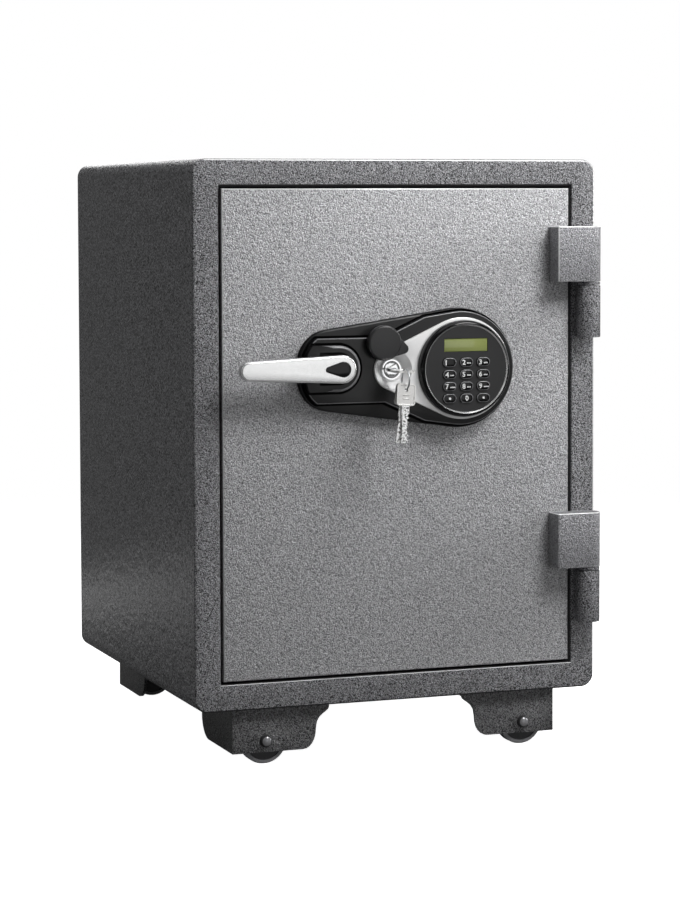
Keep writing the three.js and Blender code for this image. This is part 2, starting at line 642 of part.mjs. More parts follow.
// Holes through the door for the spindle, the key lock and the keypad's wire.
function lockHoles(fromY, toY) {
  return [
    barY(SPINDLE_RADIUS + RUNNING_GAP, HANDLE_X, HANDLE_Z, fromY, toY),
    barY(CYLINDER_RADIUS + SEAT_GAP, LOCK_X, LOCK_Z, fromY, toY),
    barY(WIRE_HOLE_RADIUS, KEYPAD_X, LOCK_Z, fromY, toY, SMALL_STEPS),
  ];
}

function doorSkin() {
  const inside = doorBlock(DOOR_X - DOOR_SKIN, DOOR_Z - DOOR_SKIN, DOOR_SKIN, STEP_DEPTH + BEYOND);
  return cut(doorBlock(DOOR_X, DOOR_Z, 0, STEP_DEPTH), inside,
    ...lockHoles(-BEYOND, DOOR_SKIN + BEYOND));
}

function doorInsulation() {
  const wall = DOOR_SKIN + SEAT_GAP;
  const panWall = PAN_WALL + SEAT_GAP;
  return cut(
    joined(
      doorBlock(DOOR_X - wall, DOOR_Z - wall, wall, STEP_DEPTH),
      doorBlock(PLUG_X - panWall - PLUG_TAPER, PLUG_Z - panWall, wall, DOOR_FILL_DEPTH),
    ),
    ...lockHoles(0, DOOR_FILL_DEPTH + BEYOND),
  );
}

function doorBackPan() {
  const front = STEP_DEPTH + SEAT_GAP;
  const holes = boltHeights().map((z) => barX(BOLT_RADIUS + RUNNING_GAP, BOLT_Y, z,
    -PLUG_X - BEYOND, CARRIAGE_X - BOLT_LENGTH / 2));
  return cut(
    joined(
      doorBlock(DOOR_X, DOOR_Z, front, FLANGE_Y),
      taperedDoorBlock(PLUG_X, PLUG_Z, front, PLUG_BACK_Y, PLUG_TAPER),
    ),
    taperedDoorBlock(PLUG_X - PAN_WALL, PLUG_Z - PAN_WALL, front - BEYOND, PLUG_BACK_Y - PAN_WALL,
      PLUG_TAPER),
    ...holes,
  );
}

function doorSeal() {
  const outerX = DOOR_X - SEAL_INSET;
  const outerZ = DOOR_Z - SEAL_INSET;
  const front = FLANGE_Y + SEAT_GAP;
  const back = front + SEAL_THICKNESS;
  return cut(
    doorBlock(outerX, outerZ, front, back),
    doorBlock(outerX - SEAL_WIDTH, outerZ - SEAL_WIDTH, front - BEYOND, back + BEYOND),
  );
}

// Lock plate, trim and keypad

// The plate's outline, drawn in from its edge by `inset`.
function plateOutline(inset) {
  const endRadius = PLATE_END_RADIUS - inset;
  return outlineRound([
    [PLATE_END_X, LOCK_Z + PLATE_END_SPREAD, endRadius],
    [PLATE_END_X, LOCK_Z - PLATE_END_SPREAD, endRadius],
    [KEYPAD_X, LOCK_Z, TRIM_RADIUS + PLATE_BORDER - inset],
  ]);
}

// A teardrop round the key lock and the keypad, `border` wider than the trim.
function trimOutline(border) {
  return outlineRound([
    [LOCK_X, LOCK_Z, TRIM_LOCK_RADIUS + border],
    [KEYPAD_X, LOCK_Z, TRIM_RADIUS + border],
  ]);
}

// The hollow of the dish that the key lock sits in, with its wall moved out by `grown`.
function dishHollow(grown) {
  return turnedY([
    [0, -TRIM_FRONT - BEYOND],
    [DISH_RADIUS + grown, -TRIM_FRONT - BEYOND],
    [DISH_RADIUS + grown, -TRIM_FRONT],
    [DISH_FLOOR_RADIUS + grown, -TRIM_FRONT + DISH_DEPTH + grown],
    [0, -TRIM_FRONT + DISH_DEPTH + grown],
  ], LOCK_X, LOCK_Z, FINE_STEPS);
}

// The boss behind the lever: round at the pivot, and sloping down to the far end of the plate.
function plateBoss() {
  const flatX = HANDLE_X - BOSS_FLAT;
  const endX = HANDLE_X - BOSS_LENGTH - BOSS_RADIUS;
  const outline = outlineRound([
    [HANDLE_X - BOSS_LENGTH, HANDLE_Z, BOSS_RADIUS],
    [HANDLE_X, HANDLE_Z, BOSS_RADIUS],
  ]);
  const slope = new THREE.Shape([
    new THREE.Vector2(flatX, -BOSS_FRONT),
    new THREE.Vector2(flatX, -BOSS_FRONT - BEYOND),
    new THREE.Vector2(endX, -BOSS_FRONT - BEYOND),
    new THREE.Vector2(endX, -BOSS_FRONT + BOSS_SLOPE_DEPTH),
  ]);
  return cut(
    slabY(outline, -BOSS_FRONT, -PLATE_SKIRT, BOSS_BEVEL),
    slabZ(slope, HANDLE_Z - BOSS_RADIUS - BEYOND, HANDLE_Z + BOSS_RADIUS + BEYOND),
  ).intersect(slabY(plateOutline(BOSS_INSET), -BOSS_FRONT - BEYOND, 0));
}

function lockPlate() {
  const levelBack = -PLATE_SKIRT + PLATE_SKIRT_BEVEL;
  const band = outlineRound([
    [PLATE_END_X, LOCK_Z, PLATE_LEVEL_HALF_HEIGHT],
    [LOCK_X, LOCK_Z, PLATE_LEVEL_HALF_HEIGHT],
  ]);
  const level = joined(
    slabY(band, -PLATE_LEVEL, levelBack, PLATE_LEVEL_BEVEL),
    slabY(trimOutline(PLATE_LEVEL_BORDER), -PLATE_LEVEL, levelBack, PLATE_LEVEL_BEVEL),
  ).intersect(slabY(plateOutline(PLATE_LEVEL_INSET), -PLATE_LEVEL, levelBack, PLATE_LEVEL_BEVEL));
  return cut(
    joined(
      slabY(plateOutline(0), -PLATE_SKIRT, -SEAT_GAP, PLATE_SKIRT_BEVEL),
      level,
      plateBoss(),
    ),
    dishHollow(DISH_WALL + SEAT_GAP),
    ...lockHoles(-BOSS_FRONT - BEYOND, BEYOND),
  );
}

// A flat teardrop with a cup drawn back into the plate for the key lock.
function trimPlate() {
  const middle = -TRIM_FRONT + TRIM_THICKNESS / 2;
  const cup = dishHollow(DISH_WALL).intersect(slabY(trimOutline(0), middle, 0));
  return cut(
    joined(slabY(trimOutline(0), -TRIM_FRONT, -PLATE_LEVEL - SEAT_GAP, TRIM_BEVEL), cup),
    dishHollow(0),
    barY(CYLINDER_RADIUS + SEAT_GAP, LOCK_X, LOCK_Z, -TRIM_FRONT - BEYOND, 0),
    barY(WIRE_HOLE_RADIUS, KEYPAD_X, LOCK_Z, -TRIM_FRONT - BEYOND, 0, SMALL_STEPS),
  );
}

const FACE_BACK = FACE_FRONT - FACE_THICKNESS;

function keypadBezel() {
  const back = -TRIM_FRONT - SEAT_GAP;
  const inner = FACE_RADIUS + SEAT_GAP;
  const ledge = FACE_RADIUS - FACE_LEDGE;
  const lip = inner + BEZEL_LIP;
  const round = Array.from({ length: CURVE_STEPS - 1 }, (_, i) => {
    const angle = (i / (CURVE_STEPS - 2)) * (Math.PI / 2);
    return [lip + (BEZEL_RADIUS - lip) * Math.sin(angle),
      -BEZEL_FRONT + BEZEL_ROUND_DEPTH * (1 - Math.cos(angle))];
  });
  return turnedY([
    [ledge, back],
    [ledge, -FACE_BACK + SEAT_GAP],
    [inner, -FACE_BACK + SEAT_GAP],
    [inner, -BEZEL_FRONT],
    ...round,
    [BEZEL_RADIUS, back],
  ], KEYPAD_X, LOCK_Z, FINE_STEPS);
}

// The middle of each key of the keypad, with its name, row by row.
function keyPlaces() {
  const rows = [['1', '2', '3'], ['4', '5', '6'], ['7', '8', '9'], ['star', '0', 'hash']];
  return rows.flatMap((names, row) => names.map((name, column) => ({
    name: `key_${name}`,
    x: KEYPAD_X + (column - 1) * KEY_PITCH_X,
    z: LOCK_Z + KEY_FIRST_ROW - row * KEY_PITCH_Z,
  })));
}

function keyOutline({ x, z }, grown) {
  const radius = KEY_HEIGHT / 2;
  const reach = KEY_WIDTH / 2 - radius;
  return outlineRound([[x - reach, z, radius + grown], [x + reach, z, radius + grown]], SMALL_STEPS);
}

function keypadFace() {
  const window = [DISPLAY_WIDTH / 2 + SEAT_GAP, DISPLAY_HEIGHT / 2 + SEAT_GAP];
  const middle = LOCK_Z + DISPLAY_RISE;
  return cut(
    barY(FACE_RADIUS, KEYPAD_X, LOCK_Z, -FACE_FRONT, -FACE_BACK, FINE_STEPS),
    block([KEYPAD_X - window[0], -FACE_FRONT - BEYOND, middle - window[1]],
      [KEYPAD_X + window[0], 0, middle + window[1]]),
    ...keyPlaces().map((place) => slabY(keyOutline(place, SEAT_GAP), -FACE_FRONT - BEYOND, 0)),
  );
}

function displayLens() {
  const middle = LOCK_Z + DISPLAY_RISE;
  return block([KEYPAD_X - DISPLAY_WIDTH / 2, -FACE_FRONT + DISPLAY_INSET, middle - DISPLAY_HEIGHT / 2],
    [KEYPAD_X + DISPLAY_WIDTH / 2, -FACE_BACK, middle + DISPLAY_HEIGHT / 2]);
}

function keypadKey(place) {
  return slabY(keyOutline(place, 0), -FACE_FRONT - KEY_PROUD, -FACE_BACK + KEY_BEHIND, KEY_BEVEL);
}

function keypadBoard() {
  const back = -TRIM_FRONT - SEAT_GAP;
  const radius = FACE_RADIUS - FACE_LEDGE - SEAT_GAP;
  return barY(radius, KEYPAD_X, LOCK_Z, back - BOARD_THICKNESS, back);
}

// Lever and bolt work

function leverOutline(rootRadius, tipRadius, reach) {
  return outlineRound([[HANDLE_X, HANDLE_Z, rootRadius], [HANDLE_X - reach, HANDLE_Z, tipRadius]]);
}

function leverHandle() {
  const front = -LEVER_BACK - LEVER_THICKNESS;
  const pocket = leverOutline(INLAY_RADIUS + SEAT_GAP, INLAY_TIP_RADIUS + SEAT_GAP, INLAY_REACH);
  return cut(
    joined(
      slabY(leverOutline(LEVER_ROOT_RADIUS, LEVER_TIP_RADIUS, LEVER_REACH), front, -LEVER_BACK,
        LEVER_BEVEL),
      barY(LEVER_HUB_RADIUS, HANDLE_X, HANDLE_Z, -LEVER_BACK - LEVER_THICKNESS / 2,
        -BOSS_FRONT - RUNNING_GAP),
    ),
    slabY(pocket, front - BEYOND, front + INLAY_DEPTH),
  );
}

function leverInlay() {
  const front = -LEVER_BACK - LEVER_THICKNESS;
  return slabY(leverOutline(INLAY_RADIUS, INLAY_TIP_RADIUS, INLAY_REACH), front,
    front + INLAY_DEPTH - SEAT_GAP);
}

// The spindle runs back from the lever to the crank, whose pin works in the carriage's slot.
function handleSpindle() {
  const back = CRANK_FRONT + CRANK_THICKNESS;
  const angle = THREE.MathUtils.degToRad(CRANK_ANGLE);
  const pinX = HANDLE_X + CRANK_RADIUS * Math.sin(angle);
  const pinZ = HANDLE_Z - CRANK_RADIUS * Math.cos(angle);
  const arm = outlineRound([
    [HANDLE_X, HANDLE_Z, CRANK_HUB_RADIUS],
    [pinX, pinZ, CRANK_EYE_RADIUS],
  ], COARSE_STEPS);
  return joined(
    barY(SPINDLE_RADIUS, HANDLE_X, HANDLE_Z, -BOSS_FRONT - RUNNING_GAP + SEAT_GAP, back),
    slabY(arm, CRANK_FRONT, back),
    barY(CRANK_PIN_RADIUS, pinX, pinZ, CRANK_FRONT,
      CARRIAGE_ARM_FRONT + CARRIAGE_ARM_WALL + CRANK_PIN_PAST_ARM, SMALL_STEPS),
  );
}

function boltCarriage() {
  const end = BOLT_SPACING + CARRIAGE_END;
  const angle = THREE.MathUtils.degToRad(CRANK_ANGLE);
  const slotX = HANDLE_X + CRANK_RADIUS * Math.sin(angle);
  const slotHalf = CRANK_PIN_RADIUS + CRANK_SLOT_GAP;
  const slotTop = HANDLE_Z - CRANK_RADIUS * Math.cos(angle) + slotHalf;
  const slotBottom = HANDLE_Z - CRANK_RADIUS - slotHalf;
  const armBack = CARRIAGE_ARM_FRONT + CARRIAGE_ARM_WALL;
  const armMiddle = (slotTop + slotBottom) / 2;
  return cut(
    joined(
      block([CARRIAGE_X, BOLT_Y - BOLT_RADIUS, MIDDLE_Z - end],
        [CARRIAGE_X + CARRIAGE_WALL, BOLT_Y + BOLT_RADIUS, MIDDLE_Z + end]),
      block([CARRIAGE_X, CARRIAGE_ARM_FRONT, armMiddle - CARRIAGE_ARM_HEIGHT / 2],
        [slotX + slotHalf + CARRIAGE_ARM_PAST_SLOT, armBack, armMiddle + CARRIAGE_ARM_HEIGHT / 2]),
    ),
    block([slotX - slotHalf, CARRIAGE_ARM_FRONT - BEYOND, slotBottom],
      [slotX + slotHalf, armBack + BEYOND, slotTop]),
  );
}

function liveBolt(z) {
  const shape = new THREE.CylinderGeometry(BOLT_RADIUS - BOLT_TIP_BEVEL, BOLT_RADIUS, BOLT_TIP_BEVEL,
    COARSE_STEPS);
  shape.rotateZ(Math.PI / 2).translate(BOLT_TIP_X + BOLT_TIP_BEVEL / 2, BOLT_Y, z);
  return joined(solid(shape),
    barX(BOLT_RADIUS, BOLT_Y, z, BOLT_TIP_X + BOLT_TIP_BEVEL, BOLT_TIP_X + BOLT_LENGTH));
}

// Key lock

function lockCylinder() {
  return cut(
    joined(
      barY(CYLINDER_FLANGE_RADIUS, LOCK_X, LOCK_Z, -CYLINDER_FRONT, -CYLINDER_SEAT, FINE_STEPS),
      barY(CYLINDER_RADIUS, LOCK_X, LOCK_Z, -CYLINDER_FRONT + CYLINDER_FLANGE / 2, CYLINDER_BACK),
    ),
    barY(PLUG_RADIUS + RUNNING_GAP, LOCK_X, LOCK_Z, -CYLINDER_FRONT - BEYOND,
      CYLINDER_BACK + BEYOND),
  );
}

// The plug has a keyway for the key, and a tail with a cam behind the door's fill.
function cylinderPlug() {
  const front = -CYLINDER_FRONT - PLUG_PROUD;
  const wayX = BLADE_WIDTH / 2 + SEAT_GAP;
  const wayZ = KEY_PLATE / 2 + SEAT_GAP;
  return joined(
    cut(
      barY(PLUG_RADIUS, LOCK_X, LOCK_Z, front, CYLINDER_BACK),
      block([LOCK_X - wayX, front - BEYOND, LOCK_Z - wayZ],
        [LOCK_X + wayX, front + KEYWAY_DEPTH, LOCK_Z + wayZ]),
    ),
    barY(TAIL_RADIUS, LOCK_X, LOCK_Z, CYLINDER_BACK - BEYOND, TAIL_BACK, SMALL_STEPS),
    slabY(outlineRound([[LOCK_X, LOCK_Z, TAIL_CAM_HUB_RADIUS],
      [LOCK_X, LOCK_Z - TAIL_CAM_REACH, TAIL_RADIUS]], SMALL_STEPS), CRANK_FRONT, TAIL_BACK),
  );
}

// A flat key, drawn hanging from the middle of its ring hole: u across, v up along the key.
function keyOutlines() {
  const top = BOW_WEB + BOW_HOLE_RADIUS;
  const bowMiddle = top - BOW_LENGTH / 2;
  const shoulder = top - BOW_LENGTH;
  const tip = shoulder - BLADE_LENGTH;
  const bladeX = BLADE_WIDTH / 2;
  const blade = new THREE.Shape([
    new THREE.Vector2(-bladeX, shoulder + BLADE_IN_BOW),
    new THREE.Vector2(-bladeX, tip + BLADE_TIP_BEVEL),
    new THREE.Vector2(BLADE_TIP_BEVEL - bladeX, tip),
    new THREE.Vector2(bladeX - BLADE_TIP_BEVEL, tip),
    new THREE.Vector2(bladeX, tip + BLADE_TIP_BEVEL),
    new THREE.Vector2(bladeX, shoulder + BLADE_IN_BOW),
  ]);
  return {
    bow: outlineBox(0, bowMiddle, BOW_WIDTH, BOW_LENGTH, BOW_CORNER_RADIUS, COARSE_STEPS),
    blade,
  };
}

// A key plate that stands in X and Z, with its ring hole at the origin and its face at Y = 0.
function keyPlate() {
  const { bow, blade } = keyOutlines();
  return cut(
    joined(slabY(bow, 0, KEY_PLATE), slabY(blade, 0, KEY_PLATE)),
    barY(BOW_HOLE_RADIUS, 0, 0, -BEYOND, KEY_PLATE + BEYOND, SMALL_STEPS),
  );
}

// The wire ring goes round the end of the inserted key's bow, and stands in Y and Z.
function keyRing() {
  const geometry = new THREE.TorusGeometry(RING_RADIUS, RING_WIRE_RADIUS, CURVE_STEPS, FINE_STEPS);
  return solid(geometry.rotateY(Math.PI / 2).translate(LOCK_X, RING_Y, RING_Z));
}

// The key in the lock lies flat, with its blade pointing into the plug.
function insertedKey() {
  const holeY = -(BOW_END - BOW_WEB - BOW_HOLE_RADIUS);
  const place = [LOCK_X, holeY, LOCK_Z - KEY_PLATE / 2];
  return part('inserted_key', keyPlate(), 'satinChrome', place, [90, 0, 0]);
}

// A spare key hangs with the top of its hole on the ring's wire and leans by `tilt` degrees.
function spareKey(name, frontY, tilt) {
  const holeDrop = BOW_HOLE_RADIUS - RING_WIRE_RADIUS - RUNNING_GAP;
  const lean = THREE.MathUtils.degToRad(tilt);
  const place = [LOCK_X - holeDrop * Math.sin(lean), frontY,
    RING_Z - RING_RADIUS - holeDrop * Math.cos(lean)];
  return part(name, keyPlate(), 'satinChrome', place, [0, tilt, 0]);
}

// The round cover has swung up and left on its pivot, clear of the keyhole.
function keyholeCover() {
  const angle = THREE.MathUtils.degToRad(COVER_OPEN_ANGLE);
  const discX = COVER_PIVOT_X + COVER_REACH * Math.cos(angle);
  const discZ = COVER_PIVOT_Z + COVER_REACH * Math.sin(angle);
  const outline = outlineRound([
    [discX, discZ, COVER_RADIUS],
    [COVER_PIVOT_X, COVER_PIVOT_Z, COVER_LUG_RADIUS],
  ]);
  return joined(
    slabY(outline, -COVER_BACK - COVER_THICKNESS, -COVER_BACK, COVER_BEVEL),
    barY(COVER_SPACER_RADIUS, COVER_PIVOT_X, COVER_PIVOT_Z, -COVER_BACK - COVER_THICKNESS / 2,
      -TRIM_FRONT - SEAT_GAP, SMALL_STEPS),
  );
}

// Parts of the lock inside the door

function lockSolenoid() {
  const front = DOOR_FILL_DEPTH + SEAT_GAP;
  const top = LOCK_Z - SOLENOID_DROP;
  const middleY = front + SOLENOID_DEPTH / 2;
  return joined(
    block([LOCK_X - SOLENOID_WIDTH / 2, front, top - SOLENOID_HEIGHT],
      [LOCK_X + SOLENOID_WIDTH / 2, front + SOLENOID_DEPTH, top]),
    barZ(PLUNGER_RADIUS, LOCK_X, middleY, top - BEYOND, top + PLUNGER_LENGTH, SMALL_STEPS),
  );
}

// The battery box is drawn facing forward, and is turned round onto the back of the door.
function batteryBox() {
  const outline = outlineBox(0, 0, BATTERY_BOX_WIDTH, BATTERY_BOX_HEIGHT,
    BATTERY_BOX_CORNER_RADIUS, COARSE_STEPS);
  const box = slabY(outline, -BATTERY_BOX_DEPTH, 0, BATTERY_BOX_BEVEL);
  return part('battery_box', box, 'mattBlack', [KEYPAD_X, PLUG_BACK_Y + SEAT_GAP, LOCK_Z],
    [0, 0, 180]);
}

function cabinet() {
  const group = new THREE.Group();
  group.add(
    part('body_shell', bodyShell(), 'darkPaint'),
    part('front_frame', frontFrame(), 'darkPaint'),
    part('back_plate', backPlate(), 'darkPaint'),
    part('body_insulation', bodyInsulation(), 'fireFill'),
    part('inner_liner', innerLiner(), 'innerPaint'),
    part('shelf', shelf(), 'innerPaint'),
    part('upper_hinge_knuckle', hingeKnuckle(UPPER_SPLIT_Z), 'darkPaint'),
    part('lower_hinge_knuckle', hingeKnuckle(LOWER_SPLIT_Z), 'darkPaint'),
  );
  return group;
}

// One bracket, axle and wheel at each corner, mirrored from the front right one.
function casters() {
  const group = new THREE.Group();
  const corners = [['front_left', -1, 1], ['front_right', 1, 1], ['rear_left', -1, -1],
    ['rear_right', 1, -1]];
  for (const [corner, sideX, sideY] of corners) {
    const caster = new THREE.Group();
    caster.add(
      part(`${corner}_caster_bracket`, casterBracket(), 'darkPaint'),
      part(`${corner}_caster_axle`, casterAxle(), 'bareSteel'),
      part(`${corner}_caster_wheel`, casterWheel(), 'mattBlack'),
    );
    caster.scale.set(sideX, sideY, 1);
    caster.position.y = sideY > 0 ? 0 : BODY_DEPTH;
    group.add(caster);
  }
  return group;
}

function door() {
  const group = new THREE.Group();
  group.add(
    part('door_skin', doorSkin(), 'lightPaint'),
    part('door_insulation', doorInsulation(), 'fireFill'),
    part('door_back_pan', doorBackPan(), 'innerPaint'),
    part('door_seal', doorSeal(), 'seal'),
    part('upper_hinge_leaf', hingeLeaf(UPPER_SPLIT_Z), 'lightPaint'),
    part('lower_hinge_leaf', hingeLeaf(LOWER_SPLIT_Z), 'lightPaint'),
    part('lock_plate', lockPlate(), 'mattBlack'),
    part('trim_plate', trimPlate(), 'chrome'),
    part('keypad_bezel', keypadBezel(), 'glossBlack'),
    part('keypad_face', keypadFace(), 'mattBlack'),
    part('display_lens', displayLens(), 'display'),
    part('keypad_board', keypadBoard(), 'board'),
    part('lock_cylinder', lockCylinder(), 'chrome'),
    part('lock_solenoid', lockSolenoid(), 'bareSteel'),
    batteryBox(),
  );
  for (const place of keyPlaces()) group.add(part(place.name, keypadKey(place), 'glossBlack'));
  return group;
}

function handleAndBolts() {
  const group = new THREE.Group();
  group.add(
    part('lever_handle', leverHandle(), 'satinChrome'),
    part('lever_inlay', leverInlay(), 'mattBlack'),
    part('handle_spindle', handleSpindle(), 'bareSteel'),
    part('bolt_carriage', boltCarriage(), 'bareSteel'),
  );
  const names = ['lower_live_bolt', 'middle_live_bolt', 'upper_live_bolt'];
  boltHeights().forEach((z, i) => group.add(part(names[i], liveBolt(z), 'chrome')));
  return group;
}

function keyLock() {
  const group = new THREE.Group();
  const pitch = (KEY_PLATE + SPARE_KEY_GAP) / 2;
  group.add(
    part('cylinder_plug', cylinderPlug(), 'chrome'),
    insertedKey(),
    part('key_ring', keyRing(), 'bareSteel'),
    spareKey('front_spare_key', RING_Y - pitch - KEY_PLATE / 2, SPARE_KEY_TILT),
    spareKey('rear_spare_key', RING_Y + pitch - KEY_PLATE / 2, REAR_KEY_TILT),
    part('keyhole_cover', keyholeCover(), 'mattBlack'),
  );
  return group;
}

const safe = new THREE.Group();
const assembly = new THREE.Group();
assembly.add(cabinet(), casters(), door(), handleAndBolts(), keyLock());
safe.add(assembly);

const extent = new THREE.Box3().setFromObject(safe);
assembly.position.set(
  -(extent.min.x + extent.max.x) / 2,
  -(extent.min.y + extent.max.y) / 2,
  -extent.min.z,
);

export default safe;
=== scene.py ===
"""The visible model of a fireproof safe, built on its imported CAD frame.

Sizes in the shapes below are millimetres in the cabinet's own frame: x to the right of its
middle, y back from its front face and z up from its underside. `at` turns them into metres in
the frame's own axes.
"""

import json
import math
from contextlib import contextmanager

import bmesh
import bpy
from bpy.props import FloatProperty, FloatVectorProperty, PointerProperty
from mathutils import Matrix, Vector

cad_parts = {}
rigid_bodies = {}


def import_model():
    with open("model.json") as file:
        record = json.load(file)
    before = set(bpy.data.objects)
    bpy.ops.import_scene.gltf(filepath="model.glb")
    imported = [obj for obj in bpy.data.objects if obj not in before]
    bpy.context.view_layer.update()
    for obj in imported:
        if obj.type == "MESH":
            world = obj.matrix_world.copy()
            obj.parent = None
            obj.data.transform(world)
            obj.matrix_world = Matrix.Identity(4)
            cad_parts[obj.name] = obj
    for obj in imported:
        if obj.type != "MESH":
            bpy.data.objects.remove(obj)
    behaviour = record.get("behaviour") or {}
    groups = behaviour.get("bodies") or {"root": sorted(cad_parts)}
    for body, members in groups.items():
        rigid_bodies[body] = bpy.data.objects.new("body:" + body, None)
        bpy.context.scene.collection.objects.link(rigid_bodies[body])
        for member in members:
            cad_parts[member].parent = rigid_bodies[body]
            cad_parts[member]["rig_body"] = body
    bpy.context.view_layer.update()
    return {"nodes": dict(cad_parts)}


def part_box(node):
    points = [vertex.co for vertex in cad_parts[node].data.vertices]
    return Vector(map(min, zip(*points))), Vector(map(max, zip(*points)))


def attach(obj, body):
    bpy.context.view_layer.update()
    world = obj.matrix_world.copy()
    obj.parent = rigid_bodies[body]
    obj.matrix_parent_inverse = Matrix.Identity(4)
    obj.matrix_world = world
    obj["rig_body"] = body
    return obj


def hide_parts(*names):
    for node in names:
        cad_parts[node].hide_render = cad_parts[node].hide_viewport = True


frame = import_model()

bl_info = {
    "name": "Fireproof Safe",
    "version": (1, 0, 0),
    "blender": (4, 5, 0),
    "location": "View3D > Sidebar > Safe",
    "description": "Models the visible pieces of a fireproof safe on its packed CAD frame",
    "category": "Add Mesh",
}

# Places that several pieces share, in millimetres
MM = 0.001
LOCK = (-12.6, 320)  # middle of the key lock, x and z
LEVER = (-69, 322.5)  # the lever's pivot
KEYPAD = (58, 320)
PASSAGES = ((LEVER, 6.4), (LOCK, 9.5), (KEYPAD, 5))  # holes behind them, with their radii
KEY_PITCH = (17.35, 11.47)  # from key to key, across and down
HINGE_AXIS = (194.5, -11.5)  # x and y
UPPER_SPLIT = 398  # height at which the upper hinge parts
LOWER_SPLIT = 118.5
AXLE = (133.4, -32)  # x and z of the right axle
COVER_PIVOT = (-4, 340)
COVER_DISC = (-24.1, 346)
FACE_Y = -26.8  # front of the keypad's face
CAP_FRONT = FACE_Y - 1.8  # front of its keys
RING = (-48.4, 313.0)  # middle of the key ring, y and z
RING_RADIUS = 9.6
SMOOTH_UNDER = 32  # degrees between two faces that are shaded as one curve

SHELL_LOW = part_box("body_shell")[0]
TURN_TO = {"Y": (math.pi / 2, 0, 0), "Z": (0, 0, 0)}


def linear(code):
    """The linear colour of an sRGB hex value."""
    shades = [int(code[i:i + 2], 16) / 255 for i in (1, 3, 5)]
    return [s / 12.92 if s <= 0.04045 else ((s + 0.055) / 1.055) ** 2.4 for s in shades]


def length(name, description, millimetres):
    return FloatProperty(name=name, description=description, default=millimetres * MM,
                         min=0, precision=4, unit="LENGTH")


def colour(name, description, code):
    return FloatVectorProperty(name=name, description=description, default=linear(code),
                               min=0, max=1, size=3, subtype="COLOR")


class SafeSizes(bpy.types.PropertyGroup):
    """Rounded edges and small sizes that a user may change without leaving the frame"""

    corner_radius: length("Cabinet corner", "Radius of the cabinet's four long edges", 13)
    face_edge: length("Cabinet face edge", "Rounding between the face and the sides", 2.4)
    sheet: length("Steel sheet", "Thickness of the cabinet's and the door's sheet", 2.5)
    opening_edge: length("Opening edge", "Rounding of the edge round the door's opening", 0.8)
    door_edge: length("Door edge", "Rounding of the door's front edge", 1.1)
    hinge_edge: length("Hinge edge", "Rounding of the ends of the hinges", 0.8)
    lever_edge: length("Lever edge", "Rounding round the front of the lever", 2.2)
    cover_edge: length("Cover edge", "Rounding round the front of the keyhole cover", 2.2)
    hammer_grain: length("Hammer grain", "Spacing of the pattern in the hammered paint", 1.15)


class SafeColours(bpy.types.PropertyGroup):
    """Colours of the finishes"""

    door_paint: colour("Door paint", "Hammered enamel of the door", "#a1a1a3")
    hinge_paint: colour("Hinge paint", "Door enamel on the hinge leaves, darker as painted shade", "#88888b")
    cabinet_paint: colour("Cabinet paint", "Hammered enamel of the cabinet", "#59595b")
    caster_paint: colour("Caster paint", "Hammered enamel of the brackets", "#4d4d4e")
    frame_paint: colour("Frame paint", "Near-black enamel of painted shade in the door's gap and on lower edges", "#242425")
    inner_paint: colour("Inner paint", "Enamel of the interior", "#b9b8b2")
    lock_plate: colour("Lock plate", "Moulded plate behind the lever and keypad", "#141415")
    display: colour("Display", "Liquid crystal display of the keypad", "#8b9455")


def at(x, y, z):
    """A place in metres on the frame's axes."""
    return Vector((x * MM, SHELL_LOW.y + y * MM, SHELL_LOW.z + z * MM))


def across(axis, u, v, along):
    """The x, y and z of a point at u, v in the plane across an axis."""
    return {"Y": (u, along, v), "Z": (u, v, along)}[axis]


# Modelling steps

def only(*pieces):
    """Selects just these pieces, with the first one active."""
    deselect()
    for piece in pieces:
        piece.select_set(True)
    bpy.context.view_layer.objects.active = pieces[0]


def deselect():
    bpy.ops.object.select_all(action="DESELECT")


def discard(*pieces):
    """Deletes pieces that were only tools or patterns for others."""
    only(*pieces)
    bpy.ops.object.delete()


@contextmanager
def editing(piece, kind="FACE"):
    """Edit mode on one piece, with faces, edges or corners to select."""
    only(piece)
    bpy.ops.object.mode_set(mode="EDIT")
    bpy.ops.mesh.select_mode(type=kind)
    bpy.ops.mesh.select_all(action="SELECT")
    yield
    bpy.ops.object.mode_set(mode="OBJECT")


def pick(piece, kind, test):
    """In edit mode, selects the faces, edges or corners that pass a test."""
    bpy.ops.mesh.select_all(action="DESELECT")
    mesh = bmesh.from_edit_mesh(piece.data)
    mesh.normal_update()
    for item in getattr(mesh, kind):
        if test(item):
            item.select_set(True)
    bmesh.update_edit_mesh(piece.data)


def settle(name):
    """Names what was just added, and puts its place and size into its mesh."""
    piece = bpy.context.active_object
    piece.name = name
    piece.data.name = name
    bpy.ops.object.transform_apply(location=True, rotation=True, scale=True)
    return piece


def block(name, low, high):
    """A box between two corners."""
    deselect()
    start, end = at(*low), at(*high)
    bpy.ops.mesh.primitive_cube_add(size=1, location=(start + end) / 2, scale=end - start)
    return settle(name)


def bar(name, place, radius, start, end, axis="Y", sides=64):
    """A round bar along an axis, from start to end."""
    deselect()
    bpy.ops.mesh.primitive_cylinder_add(
        vertices=sides, radius=radius * MM, depth=(end - start) * MM,
        location=at(*across(axis, *place, (start + end) / 2)), rotation=TURN_TO[axis])
    return settle(name)


def joined(name, *pieces):
    """Several meshes in one piece."""
    only(*pieces)
    if len(pieces) > 1:
        bpy.ops.object.join()
    pieces[0].name = name
    return pieces[0]


